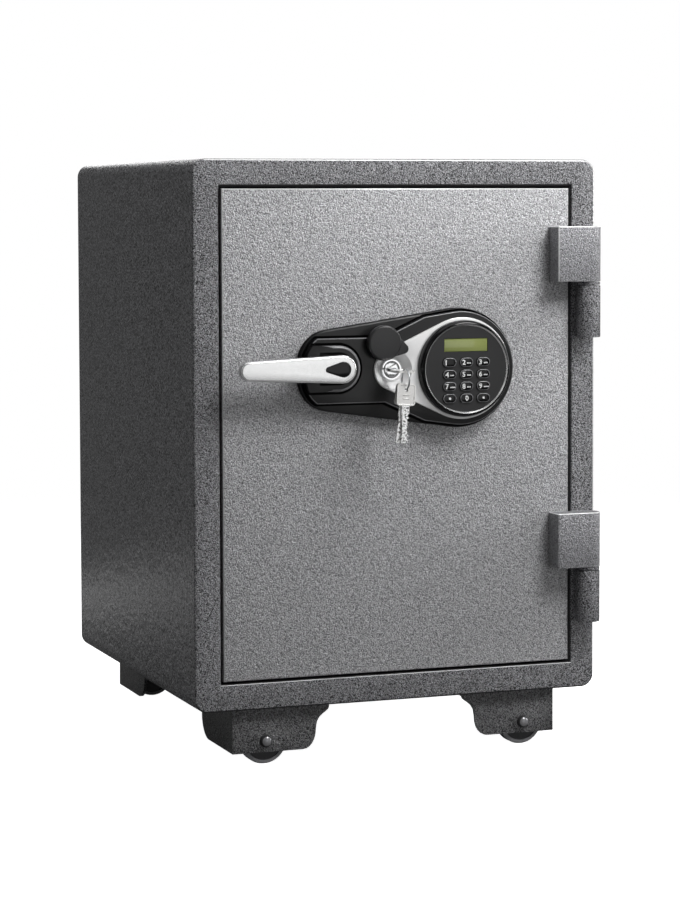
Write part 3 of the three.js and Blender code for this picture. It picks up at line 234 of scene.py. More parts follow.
def slab(name, circles, start, end, axis="Y", sides=96):
    """The plate that a band round some circles bounds, each given as u, v and radius."""
    ends = [bar(name, (u, v), radius, start, end, axis, sides) for u, v, radius in circles]
    piece = joined(name, *ends)
    with editing(piece):
        bpy.ops.mesh.convex_hull()
        bpy.ops.mesh.select_all(action="SELECT")
        bpy.ops.mesh.dissolve_limited(angle_limit=math.radians(0.4))
    return piece


def turned(name, place, profile, sides=96, shut=False):
    """A lathe piece about a line along y: the profile is points of radius and y."""
    x, z = place
    points = [at(x + radius, y, z) for radius, y in profile]
    if shut:
        points.append(points[0])
    deselect()
    bpy.ops.mesh.primitive_plane_add(size=MM, location=points[0])
    piece = settle(name)
    with editing(piece, "VERT"):
        bpy.ops.mesh.merge(type="CENTER")
        for last, following in zip(points, points[1:]):
            bpy.ops.mesh.extrude_region_move(TRANSFORM_OT_translate={"value": following - last})
        bpy.ops.mesh.select_all(action="SELECT")
        bpy.ops.mesh.spin(steps=sides, angle=math.tau, center=at(x, 0, z), axis=(0, 1, 0))
        bpy.ops.mesh.select_all(action="SELECT")
        bpy.ops.mesh.remove_doubles(threshold=2e-6)
        bpy.ops.mesh.normals_make_consistent(inside=False)
    return piece


def modify(piece, kind, **settings):
    """Adds a modifier with its settings, and applies it."""
    only(piece)
    modifier = piece.modifiers.new(kind.lower(), kind)
    for name, value in settings.items():
        setattr(modifier, name, value)
    bpy.ops.object.modifier_apply(modifier=modifier.name)
    return piece


def combine(piece, tool, operation):
    """Cuts, joins or keeps the overlap of a piece and a tool, which is used up."""
    modify(piece, "BOOLEAN", object=tool, operation=operation, solver="EXACT")
    discard(tool)
    return piece


def cut(piece, *tools):
    for tool in tools:
        combine(piece, tool, "DIFFERENCE")
    return piece


def rounded(piece, width, segments=3, angle=30):
    """Rounds every edge that turns by more than the angle."""
    return modify(piece, "BEVEL", width=width * MM, segments=segments, limit_method="ANGLE",
                  angle_limit=math.radians(angle))


def round_edges(piece, width, segments, test, finish=None):
    """Rounds the edges that pass a test. The rounding may have a finish of its own."""
    slot = own_slot(piece, finish)
    with editing(piece, "EDGE"):
        pick(piece, "edges", test)
        bpy.ops.mesh.bevel(offset=width * MM, segments=segments, affect="EDGES",
                           clamp_overlap=True, material=slot)
    return piece


def own_slot(piece, finish):
    """The number of a finish among those of a piece, or -1 for none. The first stays free."""
    if finish is None:
        return -1
    finish = finish_of(finish)
    if not piece.data.materials:
        piece.data.materials.append(None)
    if finish.name not in piece.data.materials:
        piece.data.materials.append(finish)
    return piece.data.materials.find(finish.name)


def paint_faces(piece, finish, test):
    """Gives the faces that pass a test a finish of their own."""
    slot = own_slot(piece, finish)
    with editing(piece):
        pick(piece, "faces", test)
        piece.active_material_index = slot
        bpy.ops.object.material_slot_assign()
    return piece


def edge_at(axis, along):
    """A test for the sharp edges that lie in a plane across an axis."""
    index = "XYZ".index(axis)
    level = at(along, along, along)[index]

    def test(edge):
        if any(abs(corner.co[index] - level) > 0.02 * MM for corner in edge.verts):
            return False
        return not edge.is_manifold or edge.calc_face_angle(0) > 0.5

    return test


def off_axis(face, place):
    """How far the middle of a face is from a line along y, in millimetres."""
    return (face.calc_center_median().xz - at(place[0], 0, place[1]).xz).length / MM


def sheeted(piece, thickness):
    """Takes the back off a block and gives the rest the thickness of sheet, inwards."""
    with editing(piece):
        pick(piece, "faces", lambda face: face.normal.y > 0.9)
        bpy.ops.mesh.delete(type="FACE")
    return modify(piece, "SOLIDIFY", thickness=thickness, offset=-1)


def passages(start, end, *which):
    """Tools for the holes of the lever's spindle, the lock and the keypad's leads."""
    return [bar("hole", place, radius, start, end) for place, radius in which or PASSAGES]


def softened(node, width, segments=2):
    """A copy of a node's own shape, merged and with its edges rounded."""
    mesh = frame["nodes"][node].data.copy()
    piece = bpy.data.objects.new("dressed_" + node, mesh)
    bpy.context.scene.collection.objects.link(piece)
    with editing(piece):
        bpy.ops.mesh.remove_doubles(threshold=5e-6)
        bpy.ops.mesh.dissolve_limited(angle_limit=math.radians(0.6))
    return rounded(piece, width, segments, 25)


def copied(piece, name, flips=(1, 1, 1), move=(0, 0, 0)):
    """A copy with its own mesh, mirrored about the frame's axes and moved in millimetres."""
    only(piece)
    bpy.ops.object.duplicate(linked=False)
    fresh = bpy.context.active_object
    fresh.scale = flips
    fresh.location = Vector(move) * MM
    settle(name)
    if flips[0] * flips[1] * flips[2] < 0:
        with editing(fresh):
            bpy.ops.mesh.normals_make_consistent(inside=False)
    return fresh


def dress(piece, finish, slot, *nodes):
    """Gives a piece its finish, hangs it on the body of the nodes it stands for and hides them."""
    if finish and len(piece.data.materials) > 1:
        piece.data.materials[0] = finish_of(finish)
    elif finish:
        piece.data.materials.clear()
        piece.data.materials.append(finish_of(finish))
    only(piece)
    bpy.ops.object.shade_smooth_by_angle(angle=math.radians(SMOOTH_UNDER))
    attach(piece, frame["nodes"][nodes[0]]["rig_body"])
    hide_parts(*nodes)
    return piece


# Finishes

def add(tree, kind, sockets=None, **settings):
    """Adds a node with its settings. A socket is given a value or another node's output."""
    node = tree.nodes.new(kind)
    for name, value in settings.items():
        setattr(node, name, value)
    for name, value in (sockets or {}).items():
        if isinstance(value, bpy.types.NodeSocket):
            tree.links.new(value, node.inputs[name])
        else:
            node.inputs[name].default_value = value
    return node


def surface(name, sockets, pattern):
    """A material whose shader has these sockets. The pattern adds nodes and gives more sockets."""
    finish = bpy.data.materials.get(name)
    if finish:
        return finish
    finish = bpy.data.materials.new(name)
    finish.use_nodes = True
    tree = finish.node_tree
    tree.nodes.clear()
    place = add(tree, "ShaderNodeTexCoord").outputs["Object"]
    shader = add(tree, "ShaderNodeBsdfPrincipled", {**sockets, **pattern(tree, place)})
    add(tree, "ShaderNodeOutputMaterial", {"Surface": shader.outputs["BSDF"]})
    return finish


def mixed(tree, share, low, high):
    """A colour between two, by a share from 0 to 1."""
    return add(tree, "ShaderNodeMix", {0: share, 6: (*low, 1), 7: (*high, 1)},
               data_type="RGBA").outputs[2]


def shade(paint, factor):
    return [min(1, channel * factor) for channel in paint[:3]]


def hammered_enamel(name, paint, light, dark, roughness, crisp, blotch, coarse):
    """Sprayed hammer-finish enamel on steel: aluminium flake in grey lacquer that draws up into
    small shallow pools, so the eye sees a fine net of darker lines and pools that glint."""
    grain = bpy.context.scene.safe_sizes.hammer_grain * coarse

    def pattern(tree, place):
        wander, flake, cloud = (
            add(tree, "ShaderNodeTexNoise", {"Vector": place, "Scale": scale / grain,
                                             "Detail": detail, "Roughness": rough})
            for scale, detail, rough in ((0.5, 2.0, 0.5), (0.9, 4.0, 0.6), (0.3, 3.0, 0.5)))
        bent = add(tree, "ShaderNodeVectorMath", {0: wander.outputs["Color"],
                                                  1: (0.9 * grain,) * 3}, operation="MULTIPLY")
        path = add(tree, "ShaderNodeVectorMath", {0: place, 1: bent.outputs[0]}, operation="ADD")
        pools = add(tree, "ShaderNodeTexVoronoi", {"Vector": path.outputs[0], "Scale": 1 / grain,
                                                   "Smoothness": 0.55}, feature="SMOOTH_F1")
        depth, sparkle, broad = (
            add(tree, "ShaderNodeMapRange", {"Value": value, "From Min": low, "From Max": high})
            for value, low, high in (
                (pools.outputs["Distance"], 0.15 + 0.14 * crisp, 0.75 - 0.14 * crisp),
                (flake.outputs["Fac"], 0.35 + 0.08 * crisp, 0.65 - 0.08 * crisp),
                (cloud.outputs["Fac"], 0.35, 0.65)))
        fine = add(tree, "ShaderNodeMix", {0: 0.55, 2: sparkle.outputs[0], 3: depth.outputs[0]})
        both = add(tree, "ShaderNodeMix", {0: blotch, 2: fine.outputs[0], 3: broad.outputs[0]})
        relief = add(tree, "ShaderNodeMix", {0: 0.5, 2: fine.outputs[0], 3: broad.outputs[0]})
        bump = add(tree, "ShaderNodeBump", {"Strength": 0.8, "Distance": 0.9 * MM,
                                            "Height": relief.outputs[0]}, invert=True)
        tones = mixed(tree, both.outputs[0], shade(paint, light), shade(paint, dark))
        return {"Base Color": tones, "Normal": bump.outputs["Normal"],
                "Coat Normal": bump.outputs["Normal"]}

    return surface(name, {"Metallic": 0.2, "Roughness": roughness, "Coat Weight": 0.2,
                          "Coat Roughness": 0.18}, pattern)


def ruffled(scale, strength, distance, low, high, detail=3.0):
    """A pattern of fine noise, as a bump and as a spread between two tones."""
    def pattern(tree, place):
        grit = add(tree, "ShaderNodeTexNoise", {"Vector": place, "Scale": scale,
                                                "Detail": detail})
        bump = add(tree, "ShaderNodeBump", {"Strength": strength, "Distance": distance,
                                            "Height": grit.outputs["Fac"]})
        return {"Normal": bump.outputs["Normal"],
                "Base Color": mixed(tree, grit.outputs["Fac"], low, high)}

    return pattern


def milled_brass():
    """Milled flanks of a key's blade: bright nickel with dark cutter marks across it."""
    def pattern(tree, place):
        marks = add(tree, "ShaderNodeTexNoise", {"Vector": place, "Scale": 480, "Detail": 2.0})
        sharp = add(tree, "ShaderNodeMapRange", {"Value": marks.outputs["Fac"],
                                                 "From Min": 0.38, "From Max": 0.5})
        bump = add(tree, "ShaderNodeBump", {"Strength": 0.6, "Distance": 0.3 * MM,
                                            "Height": sharp.outputs[0]})
        return {"Base Color": mixed(tree, sharp.outputs[0], linear("#4a4a48"), linear("#ffffff")),
                "Normal": bump.outputs["Normal"]}

    return surface("nickel-plated brass, milled", {"Metallic": 0.5, "Roughness": 0.3}, pattern)


def cast_fill():
    """Cast fire-resistant fill of cement and vermiculite: pale, dull and pitted."""
    return surface("cement and vermiculite fill, cast", {"Roughness": 0.95},
                   ruffled(180, 0.6, 0.8 * MM, linear("#b9b3a4"), linear("#ded9cc"), 6.0))


# Finishes with a pattern of their own
WORKED = {"milled_brass": milled_brass, "cast_fill": cast_fill}

# Hammered enamels: real name, colour, its lightest and darkest share, roughness, how crisp the
# net is, how much of it is broad cloud, and how many times as coarse as real it is drawn
HAMMERED = {
    # On the door: pale pools in a fine dark net, satin
    "door_enamel": (
        "hammer-finish enamel, light grey", "door_paint", 2.15, 0.28, 0.42, 0.6, 0.12, 1.0),
    # On the hinges' leaves: the door's net, painted a shade darker as painted shade, and glossier
    "hinge_enamel": (
        "hammer-finish enamel, hinge grey", "hinge_paint", 2.05, 0.27, 0.36, 0.7, 0.1, 1.0),
    # On the cabinet: bright flecks on near black, with a clear sheen
    "cabinet_enamel": (
        "hammer-finish enamel, dark grey", "cabinet_paint", 4.1, 0.0, 0.27, 1.5, 0.1, 1.0),
    # On the bent wrap: the same coat, its flecks brighter and crisper as painted glints, and drawn
    # coarser than real, since finer flecks vanish where a side is seen at a slant
    "wrap_enamel": (
        "hammer-finish enamel, dark grey, heavy", "cabinet_paint",
        4.7, 0.0, 0.25, 2.0, 0.1, 1.7),
    # On the casters' brackets: a dark coat with sparse flecks
    "caster_enamel": (
        "hammer-finish enamel, charcoal", "caster_paint", 3.6, 0.1, 0.3, 1.2, 0.1, 1.0),
}

# Plain finishes: real name, metallic, roughness, scale of the fine noise, strength and depth in
# millimetres of its bump, its two tones as hex values or as shares of one of the scene's
# colours, and any other sockets of the shader
PLAIN = {
    # Painted highlight along an edge: a smooth, pale, near-white line on the steel
    "rubbed_edge": ("enamel, thin and rubbed at an edge", 0.3, 0.3, 500, 0.2, 0.05,
                    "#cfd0d1", "#ffffff"),
    # Enamel run smooth over the axle's domed head: painted mid grey, lighter than the brackets'
    # own paint, as a painted highlight, and glossy for a clear small highlight
    "head_enamel": ("enamel, smooth over a domed head", 0.4, 0.24, 500, 0.15, 0.05,
                    "#77777a", "#a9a9ab"),
    # Near-black dull enamel as painted shade: on the door frame, so that the gap round the door
    # reads black, on the downward roundings of the cabinet's face and round the rims of the axle
    # heads
    "frame_enamel": ("enamel, charcoal, dull", 0, 0.6, 700, 0.3, 0.15,
                     ("frame_paint", 0.7), ("frame_paint", 1.3)),
    # Smooth light enamel, baked on the inner sheets: satin, with a slight orange peel
    "inner_enamel": ("baked enamel, light grey satin", 0, 0.45, 260, 0.12, 0.2,
                     ("inner_paint", 0.95), ("inner_paint", 1.05), {"Coat Weight": 0.1}),
    # Bright zinc plate on mild steel: soft grey mirror with a cloudy spangle
    "zinc_steel": ("zinc-plated mild steel", 1, 0.34, 300, 0.15, 0.05, "#a3a6a9", "#bfc1c3"),
    # Polished chrome plate: a clean near-white mirror with hardly any ripple
    "bright_chrome": ("chrome plate, polished", 1, 0.12, 40, 0.03, 0.05, "#e9eaeb", "#f3f3f4"),
    # Satin chrome on a zinc die casting: a bright, slightly blurred sheen
    "satin_chrome": ("chrome plate on zinc casting, satin", 0.85, 0.27, 220, 0.02, 0.03,
                     "#eaebeb", "#f5f5f5"),
    # Chrome plate brushed to an even pale satin: it stays bright where nothing is mirrored
    "pale_chrome": ("chrome plate, pale satin", 0.22, 0.25, 220, 0.02, 0.03,
                    "#f0f0f0", "#fafafa"),
    # Nickel-plated brass stamping, tumbled: a frosted mid grey with a hint of warmth
    "nickel_brass": ("nickel-plated brass, tumbled", 1, 0.36, 700, 0.3, 0.08,
                     "#dddcda", "#f6f5f3"),
    # Spark-textured moulded ABS: charcoal, matt, with a fine even grit
    "matt_plastic": ("moulded ABS, charcoal, spark texture", 0, 0.36, 1500, 0.25, 0.08,
                     ("lock_plate", 0.8), ("lock_plate", 1.2), {"Specular IOR Level": 0.42}),
    # Moulded ABS on the grooves' floors and on the walls: the same charcoal painted near black,
    # painted shade in the recesses
    "recess_plastic": ("moulded ABS, black, as moulded", 0, 0.7, 1500, 0.25, 0.08,
                       "#060607", "#0c0c0d", {"Specular IOR Level": 0.15}),
    # Moulded ABS along a rounded edge: the same charcoal painted paler, a painted highlight on the
    # edge
    "burnished_plastic": ("moulded ABS, burnished edge", 0, 0.24, 900, 0.1, 0.04,
                          "#606062", "#88888a"),
    # Finely textured polycarbonate sheet: dark grey and matt behind the gloss of the keys
    "face_plastic": ("polycarbonate, dark grey, fine matt", 0, 0.5, 1800, 0.15, 0.05,
                     "#1d1d1e", "#272728"),
    # Polished moulded ABS: near black with a clear reflection and slight sink ripple
    "gloss_plastic": ("moulded ABS, black, polished", 0, 0.12, 60, 0.04, 0.1,
                      "#060607", "#0b0b0c", {"Specular IOR Level": 0.3}),
    # Soft-touch moulded ABS: dark grey, with light that spreads gently over the disc
    "cover_plastic": ("moulded ABS, dark grey, soft matt", 0, 0.36, 1200, 0.15, 0.05,
                      "#1c1c1d", "#262627"),
    # Screen-printed white epoxy ink: flat, with slightly uneven cover
    "white_print": ("screen-printed ink, white", 0, 0.6, 900, 0.1, 0.02, "#dcdcdc", "#f2f2f2"),
    # Reflective liquid crystal display: an even olive film under clear polished acrylic
    "display_glass": ("liquid crystal display under acrylic", 0, 0.25, 500, 0.02, 0.01,
                      ("display", 0.94), ("display", 1.06),
                      {"Coat Weight": 0.6, "Coat Roughness": 0.05}),
    # Extruded intumescent strip: near black, dull, with a soft skin
    "seal_strip": ("intumescent strip, black", 0, 0.8, 600, 0.3, 0.15, "#161617", "#242425"),
    # Moulded nylon wheel: black with a dull sheen and light scuffs from the floor
    "wheel_polymer": ("moulded nylon, black", 0, 0.48, 400, 0.2, 0.1, "#2a2a2c", "#3d3d3f"),
    # Rim of the wheel: the same nylon painted paler, a painted highlight on its rounding
    "scuffed_polymer": ("moulded nylon, scuffed pale", 0, 0.55, 600, 0.3, 0.1,
                        "#6c6c6e", "#9a9a9c"),
    # Glass-epoxy laminate under green solder mask: smooth with a weave just showing
    "board_laminate": ("glass-epoxy laminate, green mask", 0, 0.35, 1400, 0.1, 0.02,
                       "#1c5531", "#256a3d"),
}


def tone(value):
    """The linear colour of a hex value, or of a share of one of the scene's colours."""
    if isinstance(value, str):
        return linear(value)
    name, factor = value
    return shade(getattr(bpy.context.scene.safe_colours, name), factor)


def finish_of(key):
    """The material that a key of the tables names, made where it is first asked for."""
    if key in WORKED:
        return WORKED[key]()
    if key in HAMMERED:
        name, paint, *rest = HAMMERED[key]
        return hammered_enamel(name, getattr(bpy.context.scene.safe_colours, paint), *rest)
    name, metallic, roughness, scale, strength, depth, low, high, *more = PLAIN[key]
    sockets = {"Metallic": metallic, "Roughness": roughness}
    for others in more:
        sockets.update(others)
    return surface(name, sockets, ruffled(scale, strength, depth * MM, tone(low), tone(high)))


# Pieces

class SafePiece:
    """What the operators of the safe share: they run in the 3D view and can be undone"""

    bl_options = {"REGISTER", "UNDO"}

    def execute(self, context):
        self.build(context.scene.safe_sizes)
        return {"FINISHED"}


class SAFE_OT_cabinet(SafePiece, bpy.types.Operator):
    """Bent steel shell with rounded long edges and the rim round the door"""

    bl_idname = "safe.cabinet"
    bl_label = "Cabinet shell"

    def build(self, sizes):
        shell = block("cabinet_shell", (-206, 0, 0), (206, 420, 520))
        round_edges(shell, sizes.corner_radius / MM, 12,
                    lambda edge: abs(edge.verts[0].co.y - edge.verts[1].co.y) > 300 * MM)
        round_edges(shell, sizes.face_edge / MM, 4, edge_at("Y", 0))
        sheeted(shell, sizes.sheet)
        cut(shell, block("opening", (-180.6, -5, 25.4), (181.3, 5, 495.5)))
        in_face = edge_at("Y", 0)
        round_edges(shell, sizes.opening_edge / MM, 3, lambda edge: in_face(edge)
                    and all(abs(corner.co.x) < 182 * MM for corner in edge.verts))
        front, side = at(0, 3, 0).y, at(184, 0, 0).x
        low, high = at(0, 0, 22).z, at(0, 0, 499).z

        # Faces of the opening's lower lip and of the face edge along the top and the right side:
        # they get a painted highlight
        def highlit_faces(face):
            place, turn = face.calc_center_median(), face.normal
            if place.y > front or not -0.95 < turn.y < -0.3:
                return False
            if abs(place.x) < side and low < place.z < high:
                return turn.z > 0.3
            return turn.y < -0.7 and turn.x > -0.1 and turn.z > -0.1

        paint_faces(shell, "rubbed_edge", highlit_faces)
        # Faces of the front roundings that turn downwards: painted shade along the lower edges, in
        # near-black enamel
        paint_faces(shell, "frame_enamel", lambda face: face.calc_center_median().y < front
                    and -0.99 < face.normal.z < -0.3)
        # The sides, top and underside take the wrap's enamel, whose brighter flecks are painted
        # glints
        paint_faces(shell, "wrap_enamel", lambda face: abs(face.normal.y) < 0.3
                    and face.calc_center_median().y > front)
        dress(shell, "cabinet_enamel", "dark_hammered_paint", "body_shell")


class SAFE_OT_door(SafePiece, bpy.types.Operator):
    """Door skin: a flat pan of sheet with its edges folded back and the holes for the lock"""

    bl_idname = "safe.door"
    bl_label = "Door"

    def build(self, sizes):
        skin = block("door_panel", (-177.5, 0, 28.5), (177.9, 20, 492.1))
        round_edges(skin, sizes.door_edge / MM, 3, edge_at("Y", 0))
        # Faces of the door's edge rounding that turn up or left: a painted highlight
        paint_faces(skin, "rubbed_edge", lambda face: -0.97 < face.normal.y < -0.1
                    and (face.normal.z > 0.2 or face.normal.x < -0.6))
        sheeted(skin, sizes.sheet)
        cut(skin, *passages(-5, 10))
        dress(skin, "door_enamel", "light_hammered_paint", "door_skin")


class SAFE_OT_hinges(SafePiece, bpy.types.Operator):
    """Two lift-off hinges: a thick leaf on the door over a knuckle with its pin on the rim"""

    bl_idname = "safe.hinges"
    bl_label = "Hinges"

    def build(self, sizes):
        x, y = HINGE_AXIS
        edge = sizes.hinge_edge / MM
        bottom = UPPER_SPLIT + 3.4
        top = bottom + 53.6
        leaf = slab("upper_leaf", [(x, y, 11.2), (158.3, -1.8, 1.5), (158.3, -21.2, 1.5)],
                    bottom, top, "Z")
        # The leaf's top edge rounding: a painted highlight
        round_edges(leaf, edge, 3, edge_at("Z", top), "rubbed_edge")
        round_edges(leaf, edge / 2, 2, edge_at("Z", bottom))
        cut(leaf, bar("bore", HINGE_AXIS, 5.4, UPPER_SPLIT - 5, UPPER_SPLIT + 42.4, "Z"))
        drop = (0, 0, LOWER_SPLIT - UPPER_SPLIT)
        # Both leaves take the door's enamel painted a shade darker: painted shade
        dress(copied(leaf, "lower_leaf", move=drop), "hinge_enamel", "light_hammered_paint",
              "lower_hinge_leaf")
        # The upper leaf's left front edge: a painted highlight, which the lower leaf, copied
        # before, lacks
        near = at(158.3, -21.2, 0).xy
        paint_faces(leaf, "rubbed_edge", lambda face: abs(face.normal.z) < 0.1
                    and -0.95 < face.normal.x < -0.2
                    and (face.calc_center_median().xy - near).length < 2 * MM)
        dress(leaf, "hinge_enamel", "light_hammered_paint", "upper_hinge_leaf")

        knuckle = slab("upper_knuckle", [(x, y, 11.2), (x - 8.2, -1.8, 1.5), (x + 8.2, -1.8, 1.5)],
                       UPPER_SPLIT - 51, UPPER_SPLIT - 0.6, "Z")
        rounded(knuckle, edge, 3, 40)
        pin = bar("pin", HINGE_AXIS, 5, UPPER_SPLIT - 8, UPPER_SPLIT + 42, "Z")
        rounded(pin, 1, 3)
        collar = bar("collar", HINGE_AXIS, 10.9, UPPER_SPLIT + 0.1, UPPER_SPLIT + 2.8, "Z")
        rounded(collar, 0.5, 2)
        combine(pin, collar, "UNION")
        combine(knuckle, pin, "UNION")
        dress(copied(knuckle, "lower_knuckle", move=drop), "cabinet_enamel",
              "dark_hammered_paint", "lower_hinge_knuckle")
        dress(knuckle, "cabinet_enamel", "dark_hammered_paint", "upper_hinge_knuckle")


class SAFE_OT_casters(SafePiece, bpy.types.Operator):
    """Four brackets under the cabinet, each with a domed axle and a small wheel"""

    bl_idname = "safe.casters"
    bl_label = "Casters"

    def build(self, sizes):
        corners = {"front_left": (-1, 1), "front_right": (1, 1),
                   "rear_left": (-1, -1), "rear_right": (1, -1)}
        axle = turned("axle", AXLE, [
            (0, 4.3), (1.6, 4.45), (3.1, 4.95), (4.4, 5.8), (5.5, 7), (6.1, 8.1), (6.2, 8.9),
            (4, 8.9), (4, 32), (3.4, 33), (0, 33)], sides=48)
        wheel = turned("wheel", AXLE, [
            (4.4, 14), (9, 14), (9.6, 14.9), (18.6, 14.9), (19.2, 14), (21.2, 14), (22.3, 14.4),
            (22.88, 15.5), (22.88, 24.5), (22.3, 25.6), (21.2, 26), (19.2, 26), (18.6, 25.1),
            (9.6, 25.1), (9, 26), (4.4, 26)], shut=True)
        # Faces of the wheel's rim rounding: a painted highlight
        paint_faces(wheel, "scuffed_polymer", lambda face: abs(face.normal.y) > 0.3
                    and off_axis(face, AXLE) > 19.8)
        # The steep rim of each domed head: a painted shadow ring in near-black enamel
        paint_faces(axle, "frame_enamel", lambda face: face.normal.y > -0.72
                    and off_axis(face, AXLE) > 4.8)
        span = 2 * (SHELL_LOW.y / MM + 210)
        for corner, (side, end) in corners.items():
            flips = (side, end, 1)
            move = (0, 0 if end > 0 else span, 0)
            for piece, part, finish, slot in (
                    # The heads' enamel is lighter than the brackets' paint: a painted highlight
                    (axle, "axle", "head_enamel", "zinc_plated_steel"),
                    (wheel, "wheel", "wheel_polymer", "wheel_rubber")):
                node = f"{corner}_caster_{part}"
                dress(copied(piece, f"{corner}_{part}", flips, move), finish, slot, node)
            bracket = softened(f"{corner}_caster_bracket", 0.7, 3)
            dress(bracket, "caster_enamel", "dark_hammered_paint", f"{corner}_caster_bracket")
        discard(axle, wheel)


def plate_outline(inset):
    """The circles that the lock plate's outline goes round, this far inside it."""
    return [(-72, 327, 32 - inset), (-72, 313, 32 - inset), (*KEYPAD, 57.5 - inset)]


def plate_level(name, grown, front, back, edge=0.0):
    """A level of the lock plate: a band behind the lever and a teardrop behind the trim."""
    band = slab(name, [(-110, 320, 31 + grown), (LOCK[0], 320, 31 + grown)], front, back)
    drop = slab("drop", [(*LOCK, 31.5 + grown), (*KEYPAD, 60.8 + grown)], front, back)
    limit = slab("limit", plate_outline(3 - grown), front - 0.03, back + 1)
    # With an edge, each rounding gets a paler finish: a painted highlight along it
    if edge:
        for part, face in ((band, front), (drop, front), (limit, front - 0.03)):
            round_edges(part, edge, 3, edge_at("Y", face), "burnished_plastic")
    combine(band, drop, "UNION")
    return combine(band, limit, "INTERSECT")


class SAFE_OT_lock_plate(SafePiece, bpy.types.Operator):
    """Moulded teardrop plate in two levels, with a groove round each and a boss for the lever"""

    bl_idname = "safe.lock_plate"
    bl_label = "Lock plate"

    def build(self, sizes):
        x, z = LEVER
        skirt_front, boss_front = -9, -21
        floors = moat, groove, hollow = -5.6, -12, -19.2
        skirt = slab("escutcheon", plate_outline(0), skirt_front, -0.3)
        round_edges(skirt, 2, 4, edge_at("Y", skirt_front))
        cut(skirt, plate_level("moat", 2.2, -12, moat))
        # A slot for the paler finish: the painted highlight on the levels' roundings
        own_slot(skirt, "burnished_plastic")
        level = plate_level("level", 0, -15, -5, edge=1.0)
        combine(skirt, level, "UNION")
        cut(skirt, slab("groove", [(-130, z, 24.4), (x + 1, z, 24.4)], -18, groove))
        boss = slab("boss", [(x - 34, z, 22), (x, z, 22)], boss_front, -7)
        # The boss's rounding gets a painted highlight
        round_edges(boss, 2.6, 4, edge_at("Y", boss_front), "burnished_plastic")
        slope = block("slope", (-140, -40, z - 40), (x - 6, boss_front, z + 40))
        with editing(slope, "VERT"):
            pick(slope, "verts", lambda v: v.co.x < -100 * MM and v.co.y > at(0, -30, 0).y)
            bpy.ops.transform.translate(value=(0, 9.2 * MM, 0))
        cut(boss, slope)
        combine(boss, slab("limit", plate_outline(3.8), -25, -5), "INTERSECT")
        combine(skirt, boss, "UNION")
        cut(skirt, slab("hollow", [(x - 26, z, 15.6), (x, z, 15.6)], -23, hollow))
        seat = turned("seat", LOCK, [(0, -25), (19.5, -25), (19.5, -18.5), (13.1, -8.2),
                                     (0, -8.2)])
        cut(skirt, seat, *passages(-30, 5))
        # Walls and the floors of moat, groove and hollow: painted shade in near-black plastic
        paint_faces(skirt, "recess_plastic", lambda face: abs(face.normal.y) < 0.25
                    or any(abs(face.calc_center_median().y - at(0, depth, 0).y) < 0.05 * MM
                           for depth in floors))
        dress(skirt, "matt_plastic", "matt_black_plastic", "lock_plate")


class SAFE_OT_trim(SafePiece, bpy.types.Operator):
    """Chrome teardrop with a dish round the key lock and a bead round the keypad"""

    bl_idname = "safe.trim"
    bl_label = "Trim"

    def build(self, sizes):
        front = -18.5
        trim = slab("trim", [(*LOCK, 19.5), (*KEYPAD, 48.8)], front, -15.3, sides=160)
        round_edges(trim, 0.7, 3, edge_at("Y", front))
        cup = turned("cup", LOCK, [(0, -16.9), (18.2, -16.9), (12.9, -8.7), (12.6, -8.5),
                                   (0, -8.5)])
        combine(trim, cup, "UNION")
        dish = turned("dish", LOCK, [(0, -25), (18.7, -25), (18.7, front), (18.3, -18.4),
                                     (18.0, -18.0), (12.1, -9.9), (11.8, -9.6), (11.4, -9.5),
                                     (0, -9.5)])
        cut(trim, dish, *passages(-30, 5, *PASSAGES[1:]))
        dress(trim, "pale_chrome", "chrome_plate", "trim_plate")


class SAFE_OT_keypad(SafePiece, bpy.types.Operator):
    """Round keypad: gloss bezel, matt face with its display, and the board behind"""

    bl_idname = "safe.keypad"
    bl_label = "Keypad"

    def build(self, sizes):
        curve = [(42.8 + 3.6 * math.sin(a), -28.2 + 6 * (1 - math.cos(a)))
                 for a in (i * math.pi / 16 for i in range(9))]
        bezel = turned("bezel", KEYPAD, [
            (39.7, -18.8), (39.7, -23.5), (41.6, -23.5), (41.6, -26.95),
            *curve, (46.4, -18.8)], sides=128, shut=True)
        paint_faces(bezel, "satin_chrome", lambda face: face.normal.y < -0.4
                    and off_axis(face, KEYPAD) < 42.6)
        dress(bezel, "gloss_plastic", "gloss_black_plastic", "keypad_bezel")

        face = bar("keypad_sheet", KEYPAD, 41.3, FACE_Y, -23.8, sides=128)
        cut(face, block("window", (35.5, -30, 336.25), (80.5, -20, 349.15)))
        for x, z in key_places().values():
            cut(face, slab("hole", [(x - 2.3, z, 4.7), (x + 2.3, z, 4.7)], -30, -20, sides=32))
        dress(face, "face_plastic", "matt_black_plastic", "keypad_face")

        lens = block("display", (35.8, -26.2, 336.55), (80.2, -23.8, 348.85))
        rounded(lens, 0.3, 2)
        dress(lens, "display_glass", "display_window", "display_lens")
        dress(softened("keypad_board", 0.2, 1), "board_laminate", "circuit_board",
              "keypad_board")


def key_places():
    """The middle of each key of the keypad, row by row."""
    rows = (("1", "2", "3"), ("4", "5", "6"), ("7", "8", "9"), ("star", "0", "hash"))
    return {name: (KEYPAD[0] + (column - 1) * KEY_PITCH[0],
                   KEYPAD[1] + 6.3 - row * KEY_PITCH[1])
            for row, names in enumerate(rows) for column, name in enumerate(names)}


